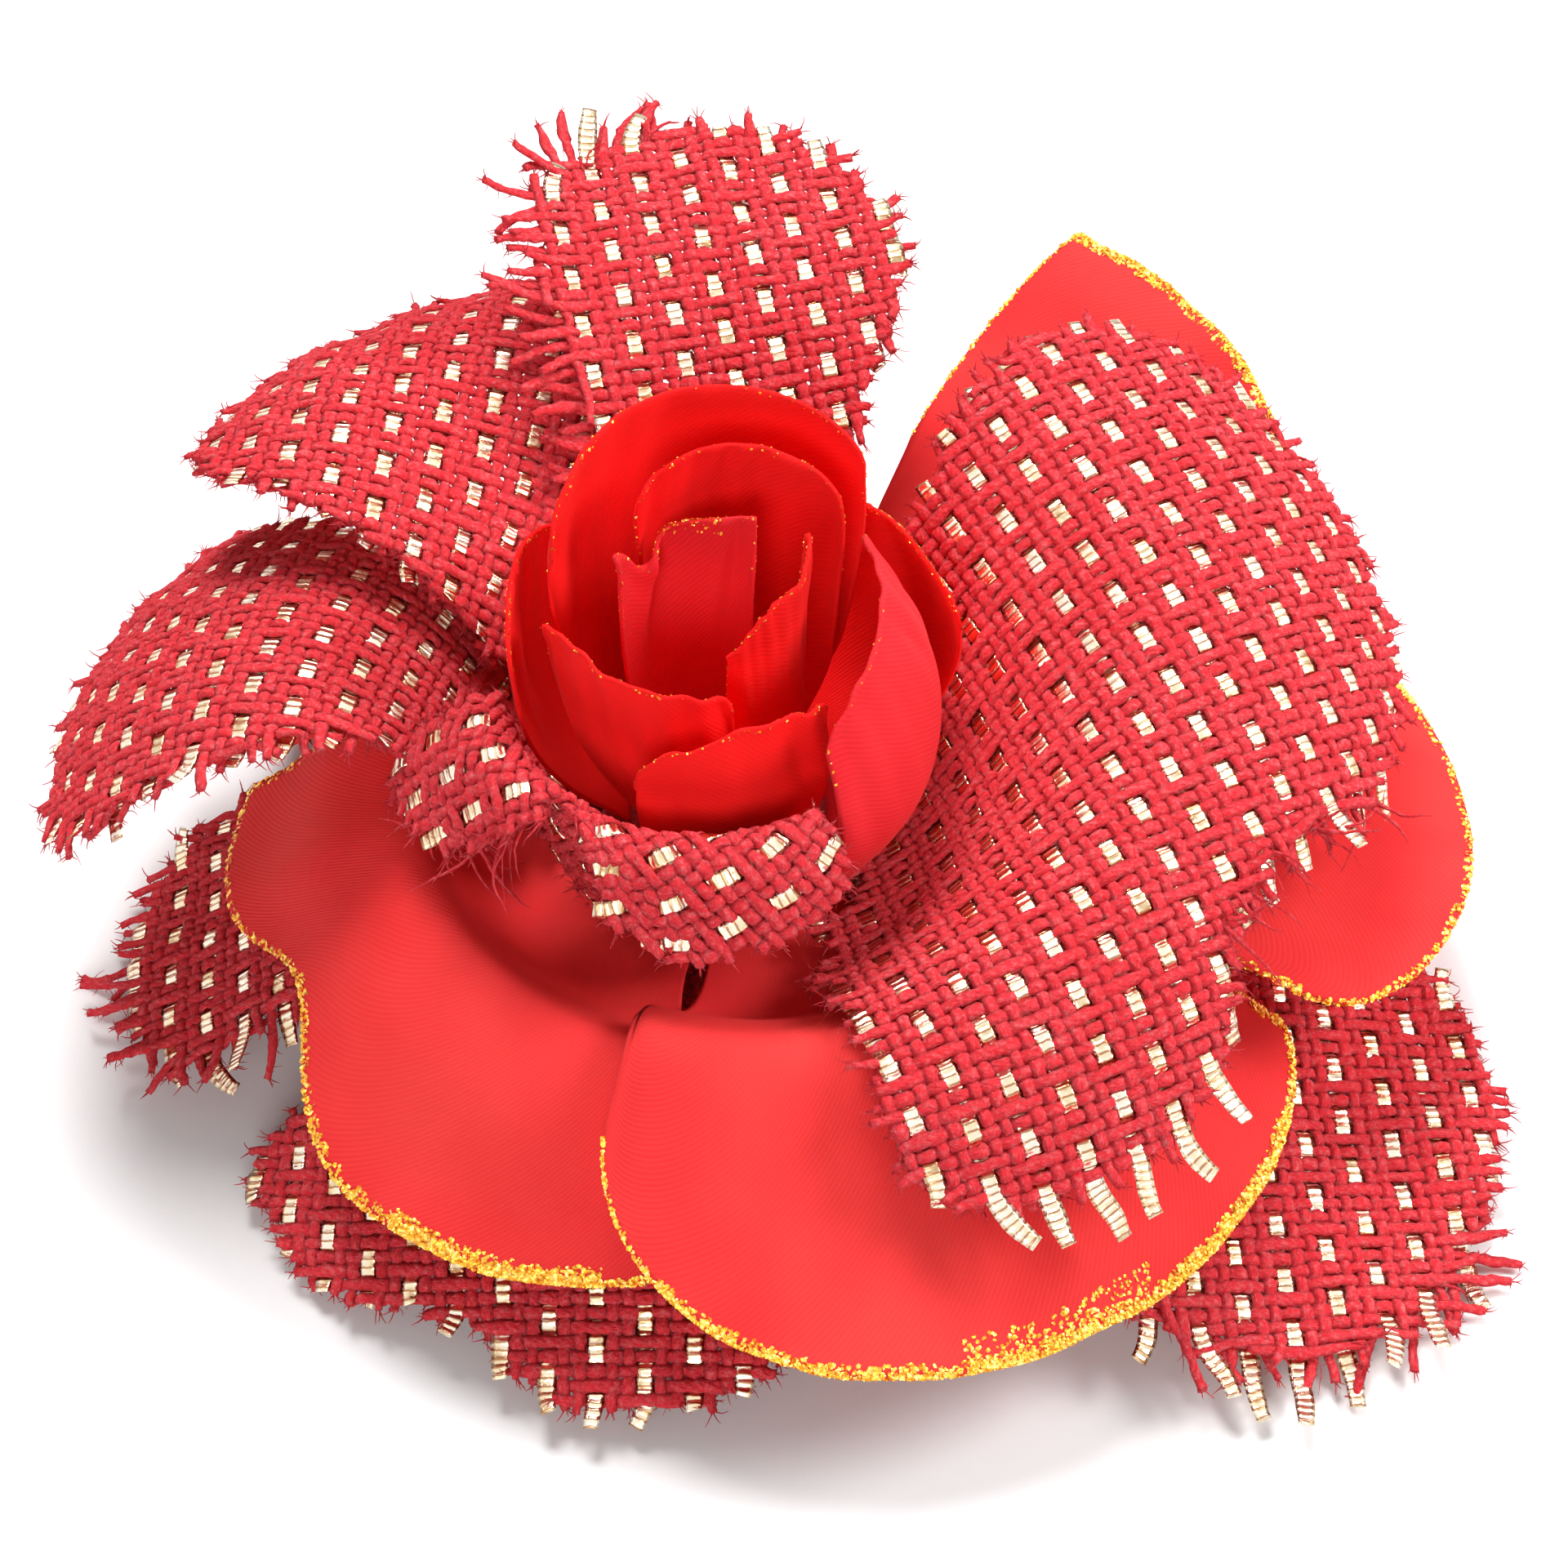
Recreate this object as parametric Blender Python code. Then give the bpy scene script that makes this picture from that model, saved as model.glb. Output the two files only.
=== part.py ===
"""A fabric rose hair clip: woven and satin petals in rings round a satin bud, on a sprung alligator clip.

Metres, +Z up. The rose lies face up on the table at z = 0, with its clip underneath and its bud's axis on Z.
Lengths are millimetres and angles are degrees; azimuth 0 is +X and turns towards +Y.
"""

import bisect
import math
from dataclasses import dataclass

import bmesh
import bpy
from mathutils import Matrix, Vector

MM = 0.001

# Shared clearances
SEAT_GAP = 0.3  # between two pieces that rest on or are glued to each other
PIN_CLEARANCE = 0.2  # radial, between the hinge pin and its holes

# Alligator clip: stamped steel, hinge pin along Y
SHEET = 0.8  # thickness of both stamped arms
ARM_TIP_X = -30.0
PIN_X = 12.0
ARM_LEVER_X = 25.0
ARM_HALF_WIDTH = 5.7
ARM_TIP_HALF_WIDTH = 4.9
JAW_HALF_WIDTH = 4.6
JAW_LEVER_HALF_WIDTH = 5.4
JAW_LEVER_LENGTH = 13.0
JAW_LEVER_ANGLE = 18.0  # how far the finger lever leans away from the top arm
TIP_ROUNDING = 3.0
PIN_RADIUS = 1.0
PIN_HEAD_RADIUS = 1.7
PIN_HEAD_THICKNESS = 0.7
PIN_TO_SHEET = 3.2  # from the pin's axis to the inner face of either arm
FOLD_STEP = 0.1  # how far an ear or a flange is set in from the edge it is folded from
EAR_RADIUS = 2.3
EAR_HALF_LENGTH = 4.0
TOOTH_COUNT = 7
TOOTH_PITCH = 1.9
TOOTH_HEIGHT = 1.1
FLANGE_HEIGHT = 0.9  # of the jaw's side flange under its teeth
TEETH_FROM_TIP = 3.2  # from the jaw's tip to the first tooth

# Torsion spring round the hinge pin
WIRE = 0.8
SPRING_TURNS = 3
SPRING_PITCH = 1.4
SPRING_LEG = 0.7 * JAW_LEVER_LENGTH
POINTS_A_TURN = 10

# Backing and the discs that carry the petal rings
GLUE_THICKNESS = 0.5
GLUE_HALF_LENGTH = 16.0
GLUE_HALF_WIDTH = 6.5
FELT_RADIUS = 19.0
FELT_THICKNESS = 1.5
DISC_THICKNESS = 0.8
BASE_DISC_RADIUS = 10.5
RING_DISC_RADIUS = 10.0
CROWN_DISC_RADIUS = 9.5
STEM_RADIUS = 1.6
CORE_RADIUS = 2.3  # of the rolled pip inside the bud
CORE_HEIGHT = 9.0

# Cloth
ROSE_WIDTH = 100.0  # nominal; the petal tables are in hundredths of it
PETAL_UNIT = ROSE_WIDTH / 100
BURLAP = 0.9  # thickness of the woven petals
SATIN = 0.5  # thickness of the satin petals
TONGUE = 8.0  # length of a ring petal's glued tongue
RING_OPENED = 22.0  # length at which a ring petal has its full angle
BUD_OPENED = 12.0  # length at which a bud petal has its full angle

# Heights, from the table up
PIN_Z = (
    (PIN_TO_SHEET + SHEET) * math.cos(math.radians(JAW_LEVER_ANGLE))
    + JAW_LEVER_LENGTH * math.sin(math.radians(JAW_LEVER_ANGLE))
)
ARM_BOTTOM = PIN_Z + PIN_TO_SHEET
GLUE_BOTTOM = ARM_BOTTOM + SHEET + SEAT_GAP
FELT_BOTTOM = GLUE_BOTTOM + GLUE_THICKNESS + SEAT_GAP
LOWER_Z = FELT_BOTTOM + FELT_THICKNESS + SEAT_GAP + BURLAP / 2
BASE_DISC_BOTTOM = LOWER_Z + BURLAP / 2 + SEAT_GAP
SATIN_Z = BASE_DISC_BOTTOM + DISC_THICKNESS + SEAT_GAP + SATIN / 2
RING_DISC_BOTTOM = SATIN_Z + SATIN / 2 + SEAT_GAP
UPPER_Z = RING_DISC_BOTTOM + DISC_THICKNESS + SEAT_GAP + BURLAP / 2
CROWN_DISC_BOTTOM = UPPER_Z + BURLAP / 2 + SEAT_GAP
BUD_Z = CROWN_DISC_BOTTOM + DISC_THICKNESS + SEAT_GAP


@dataclass
class Petal:
    """A petal bent round the rose's axis. profile lists (radius, height over its disc) along its middle, from
    its glued tongue to its tip; shares are of that length."""

    name: str
    azimuth: float
    spread: float  # half angle where it is widest
    root: float  # half angle of its tongue
    profile: list
    sides: tuple  # shares where its outer edge meets its -azimuth and +azimuth sides
    tip_at: float = 0.0  # where its tip is, from -1 to 1 across
    point: float = 2.0  # roundness of the tip: 1 is pointed, 2 or more is round
    notch: float = 0.0  # depth of a notch in its outer edge, as a share
    notch_at: float = 0.0  # where the notch is, from -1 to 1 across
    tilt: float = 0.0  # lift of its +azimuth side, and drop of its other side
    lift: float = 0.0  # the same again, growing from nothing at its tongue to this at its outer edge
    cup: float = 0.0  # lift of both sides
    spiral: float = 0.0  # added to the radius at its +azimuth side, and taken off at its other side
    swing: float = 0.0  # share by which it grows towards its +azimuth side, and shrinks towards the other


LOWER_PETALS = [
    Petal("lower_burlap_petal_1", -23, 24, 20,
          [(4, 0), (9, 0), (13, 0), (22, 0.8), (35, -3), (48, -9.5), (61, -13)], (0.72, 0.72), tilt=1.0),
    Petal("lower_burlap_petal_2", 27, 25, 22,
          [(4, 0), (9, 0), (13, 0), (22, 0.8), (34, -2.5), (45, -8), (52, -12)], (0.74, 0.74), tilt=1.0),
    Petal("lower_burlap_petal_3", 79, 25, 22,
          [(4, 0), (9, 0), (13, 0), (22, 0.8), (32, -2.5), (42, -8), (48, -12)], (0.74, 0.74), tilt=1.0),
    Petal("lower_burlap_petal_4", 129, 24, 21,
          [(4, 0), (9, 0), (13, 0), (22, 0.8), (32, -2.5), (42, -8), (48, -12)], (0.74, 0.74), tilt=1.0),
    Petal("lower_burlap_petal_5", 177, 20, 18,
          [(4, 0), (9, 0), (13, 0), (22, 0.3), (32, -3.5), (40, -9), (47, -13)], (0.74, 0.8), tilt=1.0),
    Petal("lower_burlap_petal_6", 244, 37, 26,
          [(4, 0), (9, 0), (13, 0.1), (21, 0.3), (30, -4.6), (37, -9.8), (42.5, -13.2)],
          (0.95, 0.8), tilt=1.0, notch=0.1, notch_at=-0.12),
]
SATIN_PETALS = [
    Petal("satin_petal_1", 216, 50, 40,
          [(4, 0), (9, 0), (12, 0.1), (17.5, 0.6), (21.5, 5), (24.5, 7), (30, 3.4), (35, -2.6), (39, -6.6)],
          (0.97, 0.84), notch=0.16, notch_at=-0.3, tilt=-1.8),
    Petal("satin_petal_2", 299, 45, 36,
          [(4, 0), (9, 0), (12, 0.1), (17.5, 0.9), (22.5, 5.6), (26.5, 6.6), (33, 2), (40, -3.8), (46.5, -7.6)],
          (0.64, 0.86), tip_at=0.1, tilt=-1.7, swing=0.05),
    Petal("satin_petal_3", 8, 28, 17,
          [(4, 0), (9, 0), (12, 0.2), (17, 1.8), (23, 5), (30, 5), (40, 2), (50, -1), (57, -2.5)],
          (0.76, 0.76), tilt=-1.4),
    Petal("satin_petal_4", 48, 20, 16,
          [(4, 0), (9, 0), (12, 0.2), (17, 2), (24, 6), (34, 8.5), (45, 10.5), (60, 15)],
          (0.8, 0.62), tip_at=0.7, point=1.2, tilt=-1.4),
    Petal("satin_petal_5", 128, 36, 28,
          [(4, 0), (9, 0), (12, 0.2), (17, 2), (23, 6.5), (30, 6), (38, 0), (43, -4)],
          (0.8, 0.8), tilt=-1.4),
]
UPPER_PETALS = [
    Petal("upper_burlap_petal_1", 166, 23, 15,
          [(4, 0), (9, 0), (12, 0.4), (17, 4), (23, 11), (30, 14.5), (38, 13), (46, 7.5), (51, 1.5)],
          (0.84, 0.78), tilt=2.8, cup=-1, point=3),
    Petal("upper_burlap_petal_2", 128, 26, 18,
          [(4, 0), (9, 0), (12, 0.4), (17, 4.5), (23, 12.5), (30, 17), (38, 18.5), (45, 16), (50.5, 11.5)],
          (0.88, 0.76), tilt=1.4, tip_at=-0.2, point=2.5),
    Petal("upper_burlap_petal_3", 91, 21, 15,
          [(4, 0), (9, 0), (12, 0.4), (16, 4.5), (21, 12), (29, 18.5), (39, 22), (52, 23.5)],
          (0.72, 0.72), tilt=1.4),
    Petal("upper_burlap_petal_4", -7, 62, 50,
          [(4, 0), (9, 0), (12, 0.4), (17, 4), (23, 10), (30, 13.5), (38, 12.5), (45, 8.5), (49.5, 4)],
          (0.82, 0.6), tip_at=0.2, tilt=5, lift=4, notch=0.2, notch_at=-0.2, swing=0.15),
    Petal("upper_burlap_petal_5", 242, 56, 24,
          [(4, 0), (9, 0), (12.2, 0.6), (13.6, 5), (14, 12), (15.5, 17), (18.5, 16.5), (22, 11)],
          (0.9, 0.88), tip_at=0.45, swing=-0.1, notch=0.26, notch_at=-0.2),
]
BUD_PETALS = [
    Petal("bud_petal_1", 118, 52, 38, [(3.6, 0), (5.2, 6), (6.2, 14), (6.9, 25)], (0.98, 0.96), notch=0.05,
          cup=2.2, spiral=1.4),
    Petal("bud_petal_2", -25, 62, 50, [(3.6, 0), (4.6, 8), (4.8, 16), (5.2, 28)], (0.8, 0.84), tip_at=0.75,
          point=1.2, spiral=1.6),
    Petal("bud_petal_3", 88, 50, 42, [(4.8, 0), (7.6, 6), (9.3, 14), (9.9, 22), (9.6, 29.5)], (0.88, 0.88),
          spiral=-1.0),
    Petal("bud_petal_4", 108, 63, 50, [(6, 0), (9.6, 6), (12.3, 14), (13.5, 23), (13, 32)], (0.85, 0.82),
          spiral=-0.8),
    Petal("bud_petal_5", 225, 50, 40, [(4.8, 0), (7.6, 6), (9.4, 13), (10.2, 23)], (0.86, 0.86),
          spiral=-2.6),
    Petal("bud_petal_6", 278, 38, 30, [(6, 0), (9.4, 6), (11.2, 13), (11, 21.5)], (0.78, 0.95), spiral=-1.2),
    Petal("bud_petal_7", -12, 46, 30, [(7.4, 0), (12.2, 3.4), (15.4, 9.6), (14.6, 17), (10.8, 25.5)],
          (0.8, 0.88), tip_at=0.75, point=1.4),
    Petal("bud_petal_8", 40, 22, 17, [(9, 0), (14.6, 4), (18, 10), (17.6, 16), (15.8, 21)], (0.75, 0.75)),
    Petal("bud_petal_9", 165, 28, 22, [(7.4, 0), (11.6, 5), (14.6, 12), (15.4, 18), (15.6, 23.5)],
          (0.8, 0.8)),
]


def clear_scene():
    for item in list(bpy.data.objects):
        bpy.data.objects.remove(item, do_unlink=True)


def material(name, colour, roughness, metallic=0.0):
    made = bpy.data.materials.new(name)
    made.use_nodes = True
    shader = made.node_tree.nodes["Principled BSDF"]
    shader.inputs["Base Color"].default_value = (*colour, 1.0)
    shader.inputs["Roughness"].default_value = roughness
    shader.inputs["Metallic"].default_value = metallic
    return made


def add_mesh(name, points, faces, look):
    """An object from points in millimetres."""
    mesh = bpy.data.meshes.new(name)
    mesh.from_pydata([Vector(point) * MM for point in points], [], faces)
    made = bpy.data.objects.new(name, mesh)
    bpy.context.scene.collection.objects.link(made)
    made.data.materials.append(look)
    return made


def set_origin(item, place):
    """Put the object's origin at place, in millimetres, and leave its shape where it is."""
    item.location = Vector(place) * MM
    item.data.transform(Matrix.Translation(-item.location))
    return item


def face_outwards(item):
    shape = bmesh.new()
    shape.from_mesh(item.data)
    bmesh.ops.recalc_face_normals(shape, faces=shape.faces)
    shape.to_mesh(item.data)
    shape.free()


def smoothstep(value):
    value = min(max(value, 0.0), 1.0)
    return value * value * (3 - 2 * value)


def spline(points, steps=12):
    """A smooth run of points through points, each with its distance along the run."""
    first = [2 * a - b for a, b in zip(points[0], points[1])]
    last = [2 * a - b for a, b in zip(points[-1], points[-2])]
    guides = [Vector(point) for point in (first, *points, last)]
    run = [guides[1]]
    for p0, p1, p2, p3 in zip(guides, guides[1:], guides[2:], guides[3:]):
        for step in range(1, steps + 1):
            t = step / steps
            ease = p1 * 2 + (p2 - p0) * t + (p0 * 2 - p1 * 5 + p2 * 4 - p3) * t ** 2
            run.append((ease + (p1 * 3 - p0 - p2 * 3 + p3) * t ** 3) / 2)
    travelled = [0.0]
    for before, after in zip(run, run[1:]):
        travelled.append(travelled[-1] + (after - before).length)
    return run, travelled


def along_spline(run, travelled, distance):
    """The point at distance along a run, carried on straight past its end."""
    index = min(max(bisect.bisect(travelled, distance), 1), len(run) - 1)
    share = (distance - travelled[index - 1]) / (travelled[index] - travelled[index - 1])
    return run[index - 1].lerp(run[index], share)


def edge_share(petal, across):
    """Share of the petal's length where its outer edge lies at across."""
    side = petal.sides[1] if across > petal.tip_at else petal.sides[0]
    reach = 1 - petal.tip_at if across > petal.tip_at else 1 + petal.tip_at
    aside = min(abs(across - petal.tip_at) / reach, 1.0)
    rounding = (1 - aside ** petal.point) ** (1 / petal.point)
    notch = petal.notch * math.exp(-(((across - petal.notch_at) / 0.25) ** 2))
    return side + (1 - side) * rounding - notch


def petal_surface(petal, base_z, tongue, opened):
    """A function from along (0 at the tongue, 1 at the edge) and across (-1 to 1) to the middle of the cloth.
    The petal keeps its root's angle up to tongue and has its full angle from opened, both along its length."""
    run, travelled = spline([(PETAL_UNIT * radius, PETAL_UNIT * height) for radius, height in petal.profile])

    def point_at(along, across):
        distance = along * edge_share(petal, across) * travelled[-1]
        opening = smoothstep((distance - tongue) / (opened - tongue))
        radius, height = along_spline(run, travelled, distance)
        radius *= 1 + petal.swing * across * opening
        radius += PETAL_UNIT * petal.spiral * across * opening
        height += PETAL_UNIT * opening * (petal.tilt * across + petal.cup * across ** 2)
        height += PETAL_UNIT * petal.lift * across * (distance / travelled[-1]) ** 2
        turn = math.radians(petal.azimuth + across * (petal.root + (petal.spread - petal.root) * opening))
        return (radius * math.cos(turn), radius * math.sin(turn), base_z + height)

    return point_at


def cloth(name, point_at, rows, columns, thickness, look):
    """A sheet of cloth with its own thickness over a grid of points."""
    points = []
    for row in range(rows + 1):
        for column in range(columns + 1):
            points.append(point_at(row / rows, 2 * column / columns - 1))
    faces = []
    for row in range(rows):
        for column in range(columns):
            first = row * (columns + 1) + column
            faces.append((first, first + 1, first + columns + 2, first + columns + 1))
    made = add_mesh(name, points, faces, look)
    body = made.modifiers.new("thickness", "SOLIDIFY")
    body.thickness = thickness * MM
    body.offset = 0.0
    body.use_even_offset = True
    return made


def ring_of_petals(petals, base_z, tongue, opened, thickness, look):
    """All petals of one ring, with more columns on a wider petal."""
    for petal in petals:
        columns = max(8, round(petal.spread / 5))
        cloth(petal.name, petal_surface(petal, base_z, tongue, opened), 9, columns, thickness, look)


def turned(name, outline, look, segments=32):
    """A solid turned round Z from (radius, height) points; a closed outline off the axis makes a ring."""
    points = []
    for step in range(segments):
        turn = 2 * math.pi * step / segments
        for radius, height in outline:
            points.append((radius * math.cos(turn), radius * math.sin(turn), height))
    count = len(outline)
    faces = []
    for step in range(segments):
        here, there = step * count, ((step + 1) % segments) * count
        for index in range(count):
            after = (index + 1) % count
            faces.append((here + index, there + index, there + after, here + after))
    made = add_mesh(name, points, faces, look)
    face_outwards(made)
    return made


def disc(name, radius, bottom, thickness, look, segments=32):
    """A felt disc with softened edges and a hole for the bud's stem."""
    soft = thickness / 4
    hole = STEM_RADIUS + SEAT_GAP
    top = bottom + thickness
    outline = [
        (hole, bottom), (radius - soft, bottom), (radius, bottom + soft),
        (radius, top - soft), (radius - soft, top), (hole, top),
    ]
    return turned(name, outline, look, segments)


def bud_core(look):
    """The bud's pip: a stem through the discs, and a rolled cone inside the petals."""
    low = FELT_BOTTOM + FELT_THICKNESS + SEAT_GAP
    shares = [(0.87, 0.07), (0.91, 0.45), (1.0, 0.67), (0.87, 0.87), (0.52, 0.98)]
    profile = [(STEM_RADIUS, low), (STEM_RADIUS, BUD_Z)]
    profile += [(CORE_RADIUS * out, BUD_Z + CORE_HEIGHT * up) for out, up in shares]
    segments = 20
    points = [(0, 0, low), (0, 0, BUD_Z + CORE_HEIGHT)]
    for step in range(segments):
        turn = 2 * math.pi * step / segments
        points += [(radius * math.cos(turn), radius * math.sin(turn), height) for radius, height in profile]
    count = len(profile)
    faces = []
    for step in range(segments):
        here, there = 2 + step * count, 2 + ((step + 1) % segments) * count
        faces.append((0, there, here))
        faces.append((1, here + count - 1, there + count - 1))
        for index in range(count - 1):
            faces.append((here + index, there + index, there + index + 1, here + index + 1))
    made = add_mesh("bud_core", points, faces, look)
    face_outwards(made)
    return made


def prism(name, outline, low_y, high_y, look):
    """A flat plate: an (x, z) outline drawn out along Y."""
    count = len(outline)
    points = [(x, low_y, z) for x, z in outline] + [(x, high_y, z) for x, z in outline]
    faces = [tuple(range(count)), tuple(range(2 * count - 1, count - 1, -1))]
    for index in range(count):
        after = (index + 1) % count
        faces.append((index, after, count + after, count + index))
    made = add_mesh(name, points, faces, look)
    face_outwards(made)
    return made


def rod(name, radius, low_y, high_y, look, segments=24):
    """A cylinder along Y on the hinge axis."""
    turns = [2 * math.pi * step / segments for step in range(segments)]
    outline = [(PIN_X + radius * math.cos(turn), PIN_Z + radius * math.sin(turn)) for turn in turns]
    return prism(name, outline, low_y, high_y, look)


def bent_strip(name, stations, look):
    """A strip of sheet metal. Each station is (inner face x, z, direction away from it x, z, half width)."""
    points = []
    for x, z, out_x, out_z, half_width in stations:
        for depth, side in ((0, -1), (0, 1), (SHEET, 1), (SHEET, -1)):
            points.append((x + out_x * depth, side * half_width, z + out_z * depth))
    faces = [(0, 1, 2, 3)]
    for index in range(len(stations) - 1):
        here, there = 4 * index, 4 * index + 4
        for corner in range(4):
            after = (corner + 1) % 4
            faces.append((here + corner, there + corner, there + after, here + after))
    last = 4 * (len(stations) - 1)
    faces.append((last + 3, last + 2, last + 1, last))
    made = add_mesh(name, points, faces, look)
    face_outwards(made)
    return made


def combine(item, others, operation):
    """Join or cut item by others, which are then removed."""
    for other in others:
        step = item.modifiers.new(operation.lower(), "BOOLEAN")
        step.operation = operation
        step.solver = "EXACT"
        step.object = other
        bpy.context.view_layer.update()
        graph = bpy.context.evaluated_depsgraph_get()
        item.data = bpy.data.meshes.new_from_object(item.evaluated_get(graph))
        item.modifiers.clear()
        bpy.data.objects.remove(other, do_unlink=True)
    return item


def ear(base, toward, low_y, look):
    """A pierced ear from the base points, rear to front, round the pin; toward is 1 upwards, -1 downwards."""
    outline = list(base)
    for step in range(9):
        turn = math.pi * (1 - step / 8)
        outline.append((PIN_X + EAR_RADIUS * math.cos(turn), PIN_Z + toward * EAR_RADIUS * math.sin(turn)))
    return prism("ear", outline, low_y, low_y + SHEET, look)


def tip_stations(place, half_width, steps=5):
    """Places and half widths that round the last TIP_ROUNDING of a strip which ends at place."""
    made = []
    for step in range(steps + 1):
        turn = math.pi / 2 * step / steps
        narrowed = half_width * (0.45 + 0.55 * math.cos(turn))
        made.append((place - TIP_ROUNDING * (1 - math.sin(turn)), narrowed))
    return made


def clip_top_arm(look):
    """The flat arm glued under the felt, with two ears for the pin."""
    length = PIN_X - ARM_TIP_X
    places = [(PIN_X - ARM_LEVER_X + 0.0, ARM_HALF_WIDTH * 0.8), (PIN_X - ARM_LEVER_X + 1.5, ARM_HALF_WIDTH)]
    places += [(-EAR_HALF_LENGTH, ARM_HALF_WIDTH), (EAR_HALF_LENGTH, ARM_HALF_WIDTH)]
    places += tip_stations(length, ARM_TIP_HALF_WIDTH)
    stations = [(PIN_X - place, ARM_BOTTOM, 0, 1, half_width) for place, half_width in places]
    arm = bent_strip("clip_top_arm", stations, look)
    rear, front = PIN_X + EAR_HALF_LENGTH, PIN_X - EAR_HALF_LENGTH
    inside = ARM_BOTTOM + SHEET / 2
    base = [(rear, inside), (front, inside)]
    inset = ARM_HALF_WIDTH - FOLD_STEP
    ears = [ear(base, -1, low_y, look) for low_y in (-inset, inset - SHEET)]
    combine(arm, ears, "UNION")
    hole = rod("hole", PIN_RADIUS + PIN_CLEARANCE, -2 * ARM_HALF_WIDTH, 2 * ARM_HALF_WIDTH, look)
    return combine(arm, [hole], "DIFFERENCE")


def jaw_front_angle():
    """Slope that brings the jaw's teeth up to the top arm when the clip is shut."""
    length = PIN_X - ARM_TIP_X - TEETH_FROM_TIP
    drop = PIN_TO_SHEET - FLANGE_HEIGHT - TOOTH_HEIGHT - SEAT_GAP
    return math.asin(drop / math.hypot(length, PIN_TO_SHEET)) + math.atan2(PIN_TO_SHEET, length)


def on_jaw(slope, place, height=0.0):
    """(x, z) at place along the jaw's inner face, towards its tip when positive, and height above it."""
    along = (-math.cos(slope), math.sin(slope))
    normal = (math.sin(slope), math.cos(slope))
    lift = height - PIN_TO_SHEET
    return (PIN_X + along[0] * place + normal[0] * lift, PIN_Z + along[1] * place + normal[1] * lift)


def jaw_station(slope, place, half_width):
    x, z = on_jaw(slope, place)
    return (x, z, -math.sin(slope), -math.cos(slope), half_width)


def jaw_teeth(slope, low_y, look):
    """One of the jaw's two side flanges, cut into teeth along its top."""
    start = PIN_X - ARM_TIP_X - TEETH_FROM_TIP
    outline = [on_jaw(slope, start, -SHEET / 2), on_jaw(slope, start, FLANGE_HEIGHT)]
    for tooth in range(TOOTH_COUNT):
        peak = start - (tooth + 0.35) * TOOTH_PITCH
        root = start - (tooth + 1) * TOOTH_PITCH
        outline.append(on_jaw(slope, peak, FLANGE_HEIGHT + TOOTH_HEIGHT))
        outline.append(on_jaw(slope, root, FLANGE_HEIGHT))
    end = start - TOOTH_COUNT * TOOTH_PITCH
    outline.append(on_jaw(slope, end - 2 * FLANGE_HEIGHT, -SHEET / 2))
    return prism("teeth", outline, low_y, low_y + SHEET, look)


def clip_jaw(look):
    """The moving arm: a finger lever, a bend under the pin, and a toothed front."""
    slope = jaw_front_angle()
    lever = math.radians(JAW_LEVER_ANGLE)
    stations = [
        jaw_station(lever, -JAW_LEVER_LENGTH, JAW_LEVER_HALF_WIDTH * 0.8),
        jaw_station(lever, -JAW_LEVER_LENGTH + 1.5, JAW_LEVER_HALF_WIDTH),
        jaw_station(lever, -EAR_HALF_LENGTH - 3.5, JAW_LEVER_HALF_WIDTH),
        jaw_station(lever, -EAR_HALF_LENGTH - 1.5, JAW_HALF_WIDTH),
    ]
    mean = (lever + slope) / 2
    corner = PIN_TO_SHEET - PIN_TO_SHEET / math.cos((lever - slope) / 2)
    stations.append((*on_jaw(mean, 0, corner), -math.sin(mean), -math.cos(mean), JAW_HALF_WIDTH))
    length = PIN_X - ARM_TIP_X
    stations += [jaw_station(slope, place, width) for place, width in tip_stations(length, JAW_HALF_WIDTH)]
    jaw = bent_strip("clip_jaw", stations, look)
    inset = JAW_HALF_WIDTH - FOLD_STEP
    sides = (-inset, inset - SHEET)
    base = [
        on_jaw(lever, -EAR_HALF_LENGTH, -SHEET / 2),
        on_jaw(mean, 0, corner - SHEET / 2),
        on_jaw(slope, EAR_HALF_LENGTH, -SHEET / 2),
    ]
    ears = [ear(base, 1, low_y, look) for low_y in sides]
    teeth = [jaw_teeth(slope, low_y, look) for low_y in sides]
    combine(jaw, ears + teeth, "UNION")
    hole = rod("hole", PIN_RADIUS + PIN_CLEARANCE, -2 * ARM_HALF_WIDTH, 2 * ARM_HALF_WIDTH, look)
    combine(jaw, [hole], "DIFFERENCE")
    return set_origin(jaw, (PIN_X, 0, PIN_Z))


def hinge_pin(look):
    """A headed pin through both pairs of ears."""
    inner = ARM_HALF_WIDTH + SEAT_GAP
    outer = inner + PIN_HEAD_THICKNESS
    outline = [
        (PIN_HEAD_RADIUS * 0.7, -outer), (PIN_HEAD_RADIUS, -outer + 0.2), (PIN_HEAD_RADIUS, -inner),
        (PIN_RADIUS, -inner), (PIN_RADIUS, inner), (PIN_HEAD_RADIUS, inner),
        (PIN_HEAD_RADIUS, outer - 0.2), (PIN_HEAD_RADIUS * 0.7, outer),
    ]
    segments = 24
    points = []
    for radius, y in outline:
        for step in range(segments):
            turn = 2 * math.pi * step / segments
            points.append((PIN_X + radius * math.cos(turn), y, PIN_Z + radius * math.sin(turn)))
    faces = [tuple(range(segments))]
    for index in range(len(outline) - 1):
        for step in range(segments):
            after = (step + 1) % segments
            here, there = index * segments, (index + 1) * segments
            faces.append((here + step, here + after, there + after, there + step))
    last = (len(outline) - 1) * segments
    faces.append(tuple(range(last + segments - 1, last - 1, -1)))
    made = add_mesh("hinge_pin", points, faces, look)
    face_outwards(made)
    return made


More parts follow.
